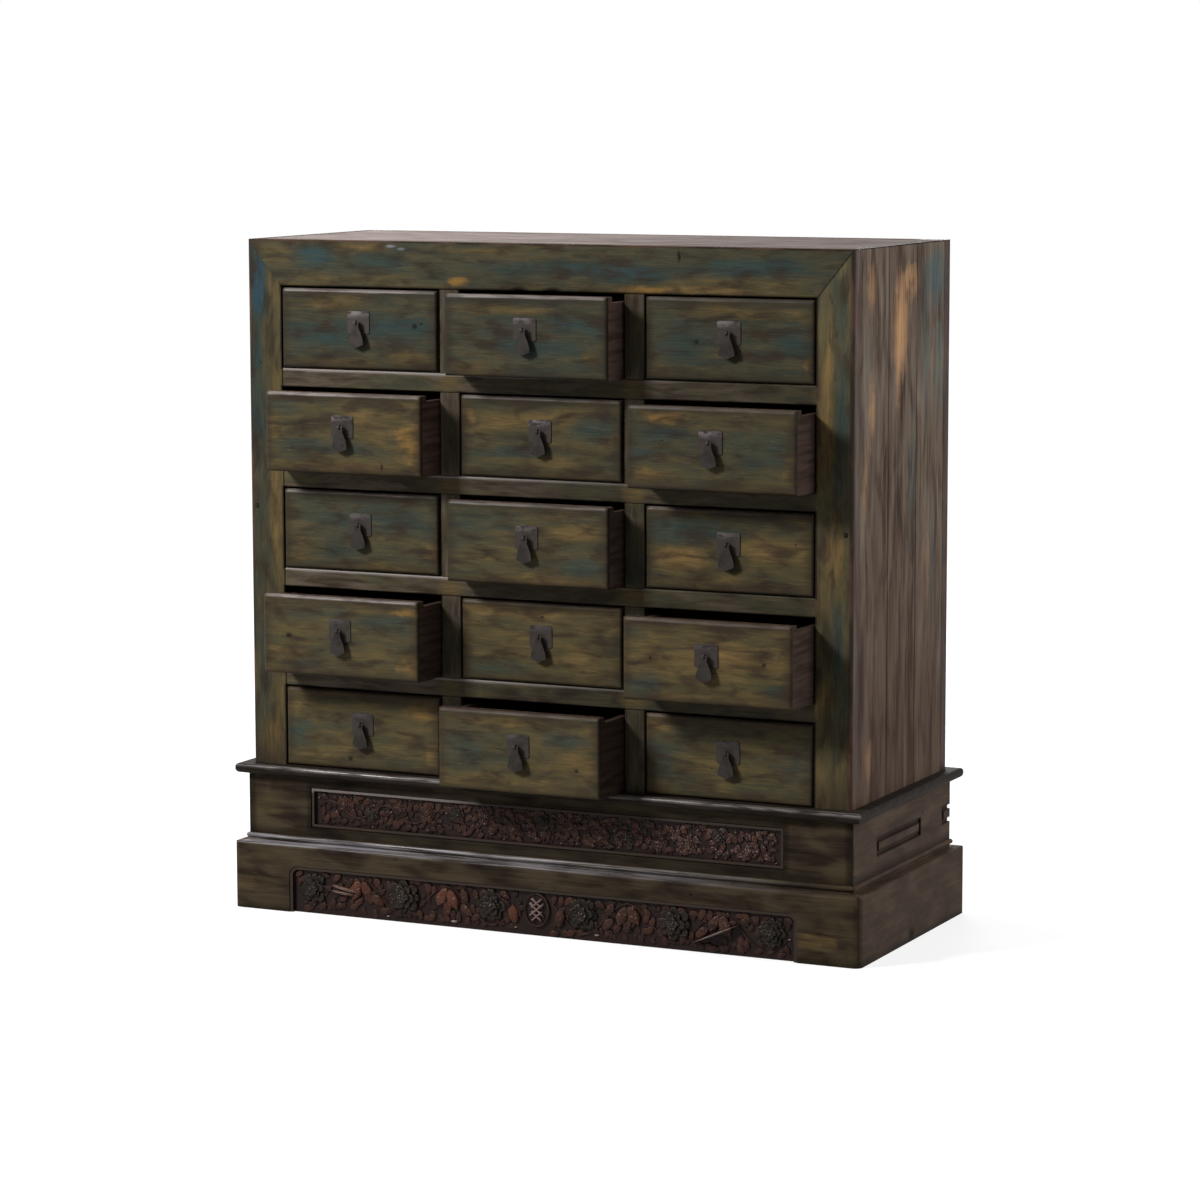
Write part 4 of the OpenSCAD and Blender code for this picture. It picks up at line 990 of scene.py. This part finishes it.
    def rings(self, f):
        """Where painted shade goes: in and beside the grooves of the sunk rings."""
        along = f.abs(f.wrap(f.minus(f.y, RING_MIDDLE[0]), RING_PITCH / 2))
        up = f.abs(f.minus(f.z, RING_MIDDLE[1]))
        off = f.most(f.minus(along, RING_HALF[0]), f.minus(up, RING_HALF[1]))
        return f.step(f.abs(f.plus(off, RING_GROOVE / 2)), 7 * MM, 4 * MM, 0.75)

    def round_panel(self, f, broad):
        """Where painted shade goes: close round the waist's panel."""
        middle = (WAIST_PANEL_LOW + WAIST_PANEL_HIGH) / 2
        beside = f.minus(f.abs(f.x), WAIST_PANEL_HIGH.x)
        above = f.minus(f.abs(f.minus(f.z, middle.z)), WAIST_PANEL_HIGH.z - middle.z)
        return f.step(f.total(f.most(beside, above), (broad, 6 * MM)), 14 * MM, 6 * MM, 0.55)


def carved_wood():
    """Red-brown wood: dark flowers, redder leaves and pale tips, chosen by the shapes' tint; painted shade in the
    deep ground and painted highlight on the highest points.
    """
    f = Finish("carved_panels")
    wood, paint = f.wood, f.paint
    tint = f.add("ShaderNodeAttribute", attribute_name="tint").outputs["Fac"]
    cloud = f.noise((0.035, 0.035, 0.02), 4, 0.6, 91)
    fine = f.noise((0.0024, 0.0024, 0.0024), 3, 0.6, 92)
    added = f.math("GREATER_THAN", f.abs(tint), 0.01)
    f.tone = f.mix(f.step(cloud, 0.4, 0.62, 0.7), wood.carved, paint.grime_and_shade)
    waist = f.math("GREATER_THAN", f.z, BETWEEN_PANELS)
    left = f.times(waist, f.step(f.x, 0.05, -0.35, 0.35))
    leafy = f.step(f.total(tint, (cloud, 1.1), (left, -1.0), -0.55), 0.5, 1.0, 0.9)
    f.lay(leafy, wood.carved_leaf)
    flowers = f.step(tint, -0.1, -0.6, 0.75)
    f.lay(flowers, wood.carved_flower)
    face = f.total((waist, WAIST_PANEL_LOW.y - PLINTH_PANEL_LOW.y), PLINTH_PANEL_LOW.y)
    depth = f.minus(f.y, face)
    # Painted shade: the ground drawn darker the deeper it lies.
    low = f.step(depth, 3 * MM, 6 * MM, 0.85)
    f.lay(low, (0.014, 0.009, 0.008))
    # Pale tips on the highest points and the pale pieces: partly worn wood, partly painted highlight.
    right = f.times(waist, f.step(f.x, -0.35, 0.25, 0.09))
    rubbed = f.total((depth, -22.0), fine, right, (flowers, -0.03))
    rubbed = f.times(f.step(rubbed, 0.56, 0.68, 0.6), added)
    rubbed = f.most(rubbed, f.step(tint, 1.4, 2.0, 0.62))
    f.lay(rubbed, wood.carved_tip)
    # The beads are dark; the waist's upper bead is pale only at its left end, a painted highlight.
    beads = f.times(f.minus(1.0, added), f.step(depth, 2.5 * MM, 1 * MM))
    upper = f.times(waist, f.step(f.z, 0.185, 0.19), f.step(f.x, -0.08, -0.18, 0.4))
    f.lay(beads, f.mix(upper, (0.036, 0.026, 0.02), paint.bare))
    rough = f.total((cloud, 0.25), (fine, 0.2), 0.3)
    return f.surface(rough, fine, 0.5 * MM, 0.05, coat=0.08)


# Carving and other repeats


def smooth(mesh, name):
    """The shape as mesh data, shaded smooth."""
    data = bpy.data.meshes.new(name)
    mesh.to_mesh(data)
    mesh.free()
    data.shade_smooth()
    return data


def slab(name, outline, relief, rows, columns, floor=-0.04):
    """A closed shape one unit long, from its root up Z.

    It is as wide as outline(t) each way, and raised by relief(s, t) towards -Y.
    """
    mesh = bmesh.new()
    tops = []
    for i in range(rows + 1):
        t = i / rows
        half = outline(t)
        places = [2 * j / columns - 1 for j in range(columns + 1)]
        tops.append([mesh.verts.new((p * half, -relief(p, t), t)) for p in places])
    for i in range(rows):
        for j in range(columns):
            mesh.faces.new((tops[i][j], tops[i][j + 1], tops[i + 1][j + 1], tops[i + 1][j]))
    rim = [*tops[0], *(row[-1] for row in tops[1:]), *reversed(tops[-1][:-1])]
    rim += [row[0] for row in reversed(tops[1:-1])]
    base = [mesh.verts.new((v.co.x, -floor, v.co.z)) for v in rim]
    for k in range(len(rim)):
        after = (k + 1) % len(rim)
        mesh.faces.new((rim[after], rim[k], base[k], base[after]))
    mesh.faces.new(base)
    bmesh.ops.remove_doubles(mesh, verts=mesh.verts, dist=1e-5)
    bmesh.ops.recalc_face_normals(mesh, faces=mesh.faces)
    return smooth(mesh, name)


def dome(name):
    """A ball of radius one, flattened along Y."""
    mesh = bmesh.new()
    bmesh.ops.create_uvsphere(mesh, u_segments=10, v_segments=6, radius=1)
    for vert in mesh.verts:
        vert.co.y *= 0.6
    return smooth(mesh, name)


def repeats_tree():
    """Geometry Nodes that set shapes from a collection on points, and sweep a tapering stem along paths."""
    tree = bpy.data.node_groups.new("carved_repeats", "GeometryNodeTree")
    face = tree.interface
    for name, kind, value, most in (
        ("Points", "Geometry", None, None),
        ("Shapes", "Collection", None, None),
        ("Stems", "Object", None, None),
        ("Stem Radius", "Float", 1.7 * MM, 10 * MM),
        ("Stem End", "Float", 0.45, 1.0),
        ("Finish", "Material", None, None),
    ):
        socket = face.new_socket(name, in_out="INPUT", socket_type="NodeSocket" + kind)
        if value:
            socket.default_value, socket.min_value, socket.max_value = value, 0.0, most
    face.new_socket("Geometry", in_out="OUTPUT", socket_type="NodeSocketGeometry")
    add = functools.partial(add_node, tree)

    def named(name, kind):
        return add("GeometryNodeInputNamedAttribute", {"Name": name}, data_type=kind).outputs["Attribute"]

    given = add("NodeGroupInput").outputs
    apart = {"Collection": given["Shapes"], "Separate Children": True, "Reset Children": True}
    shapes = add("GeometryNodeCollectionInfo", apart)
    turn = add("FunctionNodeEulerToRotation", {0: named("turn", "FLOAT_VECTOR")})
    placed = add(
        "GeometryNodeInstanceOnPoints",
        {
            "Points": given["Points"],
            "Instance": shapes.outputs["Instances"],
            "Pick Instance": True,
            "Instance Index": named("kind", "INT"),
            "Rotation": turn.outputs[0],
            "Scale": named("size", "FLOAT_VECTOR"),
        },
    )
    stems = add("GeometryNodeObjectInfo", {"Object": given["Stems"]})
    curves = add("GeometryNodeMeshToCurve", {0: stems.outputs["Geometry"]})
    along = add("GeometryNodeSplineParameter").outputs["Factor"]
    far = add("ShaderNodeMapRange", {"Value": along, "To Min": 1.0, "To Max": given["Stem End"]}).outputs["Result"]
    thick = add("ShaderNodeMath", {0: far, 1: given["Stem Radius"]}, operation="MULTIPLY").outputs[0]
    sized = add("GeometryNodeSetCurveRadius", {"Curve": curves.outputs[0], "Radius": thick})
    ring = add("GeometryNodeCurvePrimitiveCircle", {"Resolution": 8, "Radius": 1.0})
    sweep = {"Curve": sized.outputs[0], "Profile Curve": ring.outputs[0], "Fill Caps": True}
    swept = add("GeometryNodeCurveToMesh", sweep)
    if "Scale" in swept.inputs:
        tree.links.new(thick, swept.inputs["Scale"])
    smooth = add("GeometryNodeSetShadeSmooth", {"Geometry": swept.outputs[0]})
    real = add("GeometryNodeRealizeInstances", {"Geometry": placed.outputs[0]})
    both = add("GeometryNodeJoinGeometry")
    tree.links.new(real.outputs[0], both.inputs[0])
    tree.links.new(smooth.outputs[0], both.inputs[0])
    all_real = add("GeometryNodeRealizeInstances", {"Geometry": both.outputs[0]})
    finished = add("GeometryNodeSetMaterial", {"Geometry": all_real.outputs[0], "Material": given["Finish"]})
    out = add("NodeGroupOutput")
    tree.links.new(finished.outputs[0], out.inputs[0])
    return tree


def repeated(name, shapes, points, paths, finish, radius=0.0):
    """One plain mesh of shapes set on points, (place, turn, size, kind, tint), and of stems along paths."""
    scene = bpy.context.scene
    tray = bpy.data.collections.new(name + "_shapes")
    scene.collection.children.link(tray)
    for index, data in enumerate(shapes):
        tray.objects.link(bpy.data.objects.new(f"{name}_{index}", data))
    cloud = bpy.data.meshes.new(name + "_points")
    cloud.from_pydata([p[0] for p in points], [], [])
    columns = (("turn", "FLOAT_VECTOR"), ("size", "FLOAT_VECTOR"), ("kind", "INT"), ("tint", "FLOAT"))
    for column, (key, kind) in enumerate(columns, 1):
        values = cloud.attributes.new(key, kind, "POINT").data
        for item, point in zip(values, points):
            setattr(item, "vector" if kind == "FLOAT_VECTOR" else "value", point[column])
    lines = bpy.data.meshes.new(name + "_stems")
    verts, edges = [], []
    for path in paths:
        start = len(verts)
        verts += path
        edges += [(start + i, start + i + 1) for i in range(len(path) - 1)]
    lines.from_pydata(verts, edges, [])
    stems = bpy.data.objects.new(name + "_stems", lines)
    carrier = bpy.data.objects.new(name, cloud)
    for o in (stems, carrier):
        scene.collection.objects.link(o)
    tree = bpy.data.node_groups.get("carved_repeats") or repeats_tree()
    modifier = carrier.modifiers.new("repeats", "NODES")
    modifier.node_group = tree
    keys = {item.name: item.identifier for item in tree.interface.items_tree if item.in_out == "INPUT"}
    for key, value in (("Shapes", tray), ("Stems", stems), ("Stem Radius", radius), ("Finish", finish)):
        modifier[keys[key]] = value
    depsgraph = bpy.context.evaluated_depsgraph_get()
    mesh = bpy.data.meshes.new_from_object(carrier.evaluated_get(depsgraph))
    carrier.modifiers.clear()
    carrier.data = mesh
    mesh.name = name
    if not mesh.polygons:
        raise RuntimeError(f"{name} came out empty")
    for o in [*tray.objects, stems]:
        bpy.data.objects.remove(o)
    bpy.data.collections.remove(tray)
    return carrier


PETAL, LEAF, BUD, BAR = range(4)


def carving_shapes():
    """A petal, a leaf, a bud and a bar, each one unit long."""
    petal = slab(
        "petal",
        lambda t: 0.46 * math.sin(math.pi * min(1, t**0.62 * 0.93)) ** 0.75,
        lambda s, t: 0.16 + 0.26 * t + 0.16 * s * s * t - 0.5 * max(0, t - 0.78),
        4,
        4,
    )
    leaf = slab(
        "leaf",
        lambda t: 0.24 * math.sin(math.pi * t**0.8) ** 0.8 * (1 + 0.18 * math.cos(9 * math.pi * t)),
        lambda s, t: 0.06 + 0.2 * math.sin(math.pi * (0.1 + 0.8 * t)) * (1 - 0.8 * abs(abs(s) - 0.45)),
        6,
        4,
    )
    bar = slab("bar", lambda _: 0.13, lambda s, _: 0.2 * (1 - 0.5 * s * s), 4, 4)
    return [petal, leaf, dome("bud"), bar]


# The rings of a flower's petals: (count, distance from the middle, length, lift), as shares of its width
FLOWER_RINGS = ((8, 0.16, 0.34, 0.0), (6, 0.07, 0.27, 0.05), (4, 0.0, 0.19, 0.1))


def flower(points, x, y, z, width, tint, seed):
    """A full flower of rings of petals round a bud, with y its ground."""
    for ring, (count, root, size, lift) in enumerate(FLOWER_RINGS):
        for k in range(count):
            angle = math.tau * (k + 0.5 * ring) / count + 0.13 * math.sin(3.1 * seed + 1.7 * k)
            swell = 1 + 0.1 * math.sin(5.3 * seed + 2.9 * k)
            place = (x + root * width * math.sin(angle), y - lift * width, z + root * width * math.cos(angle))
            length = size * width * swell
            points.append((place, (0, angle, 0), (length * 1.05, 0.55 * length, length), PETAL, tint))
    points.append(((x, y - 0.1 * width, z), (0, 0, 0), (0.07 * width, 0.09 * width, 0.07 * width), BUD, tint))


def leaf(points, x, y, z, angle, size, tint, wide=1.0):
    """A leaf from its root, turned clockwise from upright."""
    points.append(((x, y, z), (0, angle, 0), (size * wide, size * 0.75, size), LEAF, tint))


class CABINET_OT_waist_carving(bpy.types.Operator):
    """The scrolling vine with small flowers on the waist"""

    bl_idname = "cabinet.waist_carving"
    bl_label = "Carve the waist"

    def execute(self, context):
        settings = context.scene.cabinet.carving
        low, high = WAIST_PANEL_LOW, WAIST_PANEL_HIGH
        ground = low.y + settings.relief
        middle = (low.z + high.z) / 2
        reach = (high.x - low.x) / 2 - 12 * MM
        wave, rise = 97 * MM, 12 * MM
        steps, leaves, buds = 220, 430, 190
        points, path = [], []
        for i in range(steps + 1):
            x = -reach + 2 * reach * i / steps
            path.append((x, ground - 0.6 * settings.stem, middle + rise * math.sin(math.tau * x / wave)))
        count = int(2 * reach / (wave / 2))
        for k in range(count):
            x = (k - (count - 1) / 2) * wave / 2
            side = 1 if math.sin(math.tau * x / wave) > 0 else -1
            flower(points, x, ground, middle - side * 0.008, 0.027, (0.2, -0.8, 0.5)[k % 3], k)
        for k in range(leaves):
            x = -reach + 2 * reach * (k + 0.5) / leaves
            z = middle + 21 * MM * math.sin(7.3 * k + settings.seed)
            angle = 2.4 * k + 0.8 * math.sin(3.7 * k)
            x_tip, z_tip = x + 12 * MM * math.sin(angle), z + 12 * MM * math.cos(angle)
            if abs(z_tip - middle) > 26 * MM or abs(x_tip) > reach:
                angle += math.pi
            size = (12.5 + 3 * math.sin(2.3 * k)) * MM
            leaf(points, x, ground, z, angle, size, (0.75, 0.5, 0.25, 0.6)[k % 4], 1.3)
        for k in range(buds):
            x = -reach + 2 * reach * ((k * 0.618034) % 1)
            z = middle + 24 * MM * math.sin(12.9 * k + settings.seed)
            # Every sixth bud pale, as worn specks that are partly painted highlight.
            tint = 1.8 if k % 6 == 0 else 0.6
            points.append(((x, ground, z), (0, 0, 0), (1.5 * MM, 5.2 * MM, 1.5 * MM), BUD, tint))
        finish = bpy.data.materials["carved_panels"]
        piece = repeated("waist_vine", carving_shapes(), points, [path], finish, settings.stem)
        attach(piece, "cabinet")
        return {"FINISHED"}


# Leaves of the plinth's carving, to the right of the middle: (x, z, angle, length, tint)
PLINTH_LEAVES = [
    (0.036, 0.016, 0.2, 0.03, 0.9), (0.046, 0.052, 0.9, 0.02, 0.3), (0.11, 0.02, 0.8, 0.026, 0.2),
    (0.118, 0.04, 0.4, 0.024, 0.6), (0.152, 0.06, 2.6, 0.034, 1.0), (0.15, 0.058, 3.6, 0.034, 1.0),
    (0.151, 0.018, 0.0, 0.026, 0.7), (0.262, 0.022, 0.9, 0.028, 0.2), (0.268, 0.048, 0.5, 0.022, 0.5),
    (0.304, 0.06, 2.8, 0.036, 0.9), (0.3, 0.058, 3.7, 0.03, 0.7), (0.35, 0.052, -0.7, 0.02, 0.3),
    (0.404, 0.066, 2.2, 0.018, 0.4),
]
# Long leaves drawn pale, partly worn and partly painted highlight: (x, z, angle, length, tint, width)
PALE_LEAVES = [
    (-0.352, 0.048, 1.75, 0.05, 1.6, 0.2), (-0.354, 0.039, 1.65, 0.046, 1.6, 0.2),
    (0.258, 0.014, 1.15, 0.082, 1.58, 0.075),
]
# Pale chips in it, worn spots that also stand in for glints as painted highlight: (x, z, size)
PLINTH_CHIPS = [
    (-0.395, 0.03, 0.7), (-0.255, 0.007, 0.7), (-0.141, 0.009, 1.3), (-0.036, 0.01, 0.6), (0.1, 0.01, 1.0),
    (0.216, 0.034, 0.7), (0.412, 0.032, 0.6),
]


class CABINET_OT_plinth_carving(bpy.types.Operator):
    """The large flowers, leaves and middle medallion on the plinth"""

    bl_idname = "cabinet.plinth_carving"
    bl_label = "Carve the plinth"

    def execute(self, context):
        settings = context.scene.cabinet.carving
        low, high = PLINTH_PANEL_LOW, PLINTH_PANEL_HIGH
        ground = low.y + settings.relief
        points, paths = [], []
        heart, start, reach = 40 * MM, 26 * MM, 412 * MM
        steps, leaves = 140, 340
        for side in (-1, 1):
            for k, (x, width) in enumerate(((0.077, 0.05), (0.227, 0.054), (0.384, 0.046))):
                flower(points, side * x, ground, heart, width, -0.9, k + side)
            path = []
            for i in range(steps + 1):
                x = start + (reach - start) * i / steps
                z = 0.036 - 0.026 * math.cos(math.tau * (x - 0.077) / 0.15)
                path.append((side * x, ground - 0.5 * settings.stem, z))
            paths.append(path)
            for x, z, angle, size, tint in PLINTH_LEAVES:
                warmth = tint if side < 0 else 0.6 * tint
                leaf(points, side * x, ground, z, side * angle, size, warmth, 1.15)
        for k in range(leaves):
            x = -reach + 2 * reach * (k + 0.5) / leaves
            z = (36 + 30 * math.sin(7.9 * k + settings.seed)) * MM
            angle = 2.4 * k + 0.7 * math.sin(2.9 * k)
            size = (15 + 4 * math.sin(3.3 * k)) * MM
            if not 4 * MM < z + size * math.cos(angle) < high.z - 8 * MM:
                angle = math.pi - angle
            if abs(x) > 28 * MM and abs(x + size * math.sin(angle)) < reach + 2 * MM:
                leaf(points, x, ground + 0.4 * MM, z, angle, size, (0.15, 0.35, 0.08, 0.5, 0.2)[k % 5], 1.2)
        for x, z, angle, size, tint, wide in PALE_LEAVES:
            leaf(points, x, ground - 1 * MM, z, angle, size, tint, wide)
        for x, z, size in PLINTH_CHIPS:
            points.append(((x, ground, z), (0, 0, 0), (4.6 * MM * size, 5.8 * MM, 1.8 * MM * size), BUD, 1.9))
        self.medallion(points, paths, ground)
        finish = bpy.data.materials["carved_panels"]
        piece = repeated("plinth_flowers", carving_shapes(), points, paths, finish, settings.stem)
        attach(piece, "cabinet")
        return {"FINISHED"}

    def medallion(self, points, paths, ground):
        """A ring round a diamond lattice of bars."""
        middle, tall, wide = 40 * MM, 25 * MM, 20 * MM
        steps, bars = 32, 3
        ring = []
        for k in range(steps + 1):
            angle = math.tau * k / steps
            ring.append((wide * math.sin(angle), ground - 3 * MM, middle + tall * math.cos(angle)))
        paths.append(ring)
        for k in range(-bars // 2 + 1, bars // 2 + 1):
            for lean in (-1, 1):
                angle = lean * math.radians(50)
                reach = (15 - 4 * abs(k)) * MM
                x = -reach * math.sin(angle)
                z = middle + 10 * MM * k - reach * math.cos(angle)
                points.append(((x, ground, z), (0, angle, 0), (12 * MM, 26 * MM, 2 * reach), BAR, 1.75))


class CABINET_OT_ironwork(bpy.types.Operator):
    """Forged iron on the plates, the pins and the drops"""

    bl_idname = "cabinet.ironwork"
    bl_label = "Finish the ironwork"

    def execute(self, context):
        wear(self.forged("forged_plates", True), *PLATES)
        wear(self.forged("forged_drops", False), *PULLS)
        return {"FINISHED"}

    def forged(self, name, plate):
        """Forged iron; the plates are rubbed along the top, partly as painted highlight, and stained by the paint
        below.
        """
        iron = bpy.context.scene.cabinet.iron
        f = Finish(name)
        dents = f.noise((0.006, 0.006, 0.006), 3, 0.6, 95)
        cloud = f.noise((0.02, 0.02, 0.02), 4, 0.6, 96)
        f.tone = f.mix(f.step(cloud, 0.4, 0.64), iron.iron, iron.rust)
        if plate:
            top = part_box("plate_r5c2")[1].z
            under = f.wrap(f.minus(f.z, top), ROW_PITCH / 2)
            edge = f.total(under, (cloud, 12 * MM), -6 * MM)
            band = f.step(edge, -13 * MM, -2 * MM, 0.8)
            broken = f.step(f.noise((0.014, 0.01, 0.006), 3, 0.6, 97), 0.34, 0.6)
            across = f.wrap(f.x, COLUMN_PITCH / 2)
            # Painted highlight: the rubbed band brighter at each plate's left and on the upper rows.
            broken = f.times(broken, f.minus(1.0, f.step(across, -8 * MM, 16 * MM, 0.6)))
            broken = f.times(broken, f.plus(f.step(f.z, 0.5, 0.76, 0.65), 0.35))
            f.lay(f.step(edge, -4 * MM, -18 * MM, 0.75), (0.046, 0.036, 0.03))
            f.lay(f.times(band, broken), iron.rubbed)
        lit = f.times(f.step(f.x, -0.1, -0.2), f.step(f.z, 0.8, 0.9))
        f.tone = f.bright(f.tone, f.total((lit, 0.28), 0.84 if plate else 0.72))
        rough = f.total((cloud, 0.3), 0.38)
        return f.surface(rough, dents, 0.6 * MM, 0.12, f.times(dents, 0.15))


class CABINET_OT_fasteners(bpy.types.Operator):
    """Wooden pegs in the front posts and nails in the back boards"""

    bl_idname = "cabinet.fasteners"
    bl_label = "Set pegs and nails"

    def execute(self, context):
        f = Finish("peg_wood")
        rings = f.noise((0.002, 0.002, 0.004), 3, 0.6, 101)
        f.tone = f.mix(f.step(rings, 0.35, 0.7), f.paint.grime_and_shade, f.paint.brown)
        peg_wood = f.surface(0.6, rings, 0.3 * MM)
        block = slab("peg", lambda _: 0.5, lambda *_: 1.0, 2, 2, floor=-1.0)
        size, foot, in_from_side = (5.6 * MM, 0.4 * MM, 7 * MM), 626.5 * MM, 11 * MM
        pegs = [
            ((side * (CASE_HIGH.x - in_from_side), CASE_LOW.y, foot), (0, 0, 0), size, 0, 0.5)
            for side in (-1, 1)
        ]
        piece = repeated("pegs", [block], pegs, [], peg_wood)
        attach(piece, "cabinet")
        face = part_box("back_panel")[1].y
        low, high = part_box("back_panel")
        nails = []
        for k in range(2 * BACK_BOARDS):
            x = low.x + (high.x - low.x) * (k // 2 + (0.2 if k % 2 else 0.8)) / BACK_BOARDS
            for z in (low.z + 22 * MM, high.z - 22 * MM):
                nails.append(((x, face, z), (0, 0, 0), (3 * MM, 2 * MM, 3 * MM), 0, 0.5))
        piece = repeated("nails", [dome("nail")], nails, [], bpy.data.materials["forged_drops"])
        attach(piece, "cabinet")
        return {"FINISHED"}


class CABINET_PT_panel(bpy.types.Panel):
    """Builds the cabinet's finishes, carving and stage"""

    bl_idname = "CABINET_PT_panel"
    bl_label = "Medicine Cabinet"
    bl_space_type = "VIEW_3D"
    bl_region_type = "UI"
    bl_category = "Cabinet"

    def draw(self, context):
        layout = self.layout
        settings = context.scene.cabinet
        for part in ("paint", "wood", "iron", "carving", "stage"):
            box = layout.box()
            group = getattr(settings, part)
            box.label(text=part.capitalize())
            for key in group.bl_rna.properties.keys():
                if key not in ("rna_type", "name"):
                    box.prop(group, key)
        for operator in OPERATORS:
            layout.operator(operator.bl_idname)


OPERATORS = (
    CABINET_OT_stage,
    CABINET_OT_front_frame,
    CABINET_OT_drawers,
    CABINET_OT_bare_wood,
    CABINET_OT_base,
    CABINET_OT_waist_carving,
    CABINET_OT_plinth_carving,
    CABINET_OT_ironwork,
    CABINET_OT_fasteners,
)
GROUPS = (PaintSettings, WoodSettings, IronSettings, CarvingSettings, StageSettings, CabinetSettings)


def register():
    for item in (*GROUPS, *OPERATORS, CABINET_PT_panel):
        bpy.utils.register_class(item)
    bpy.types.Scene.cabinet = bpy.props.PointerProperty(type=CabinetSettings)


def unregister():
    del bpy.types.Scene.cabinet
    for item in reversed((*GROUPS, *OPERATORS, CABINET_PT_panel)):
        bpy.utils.unregister_class(item)


def main():
    register()
    bpy.ops.cabinet.stage()
    bpy.ops.cabinet.front_frame()
    bpy.ops.cabinet.drawers()
    bpy.ops.cabinet.bare_wood()
    bpy.ops.cabinet.base()
    bpy.ops.cabinet.waist_carving()
    bpy.ops.cabinet.plinth_carving()
    bpy.ops.cabinet.ironwork()
    bpy.ops.cabinet.fasteners()


if __name__ == "__main__":
    main()
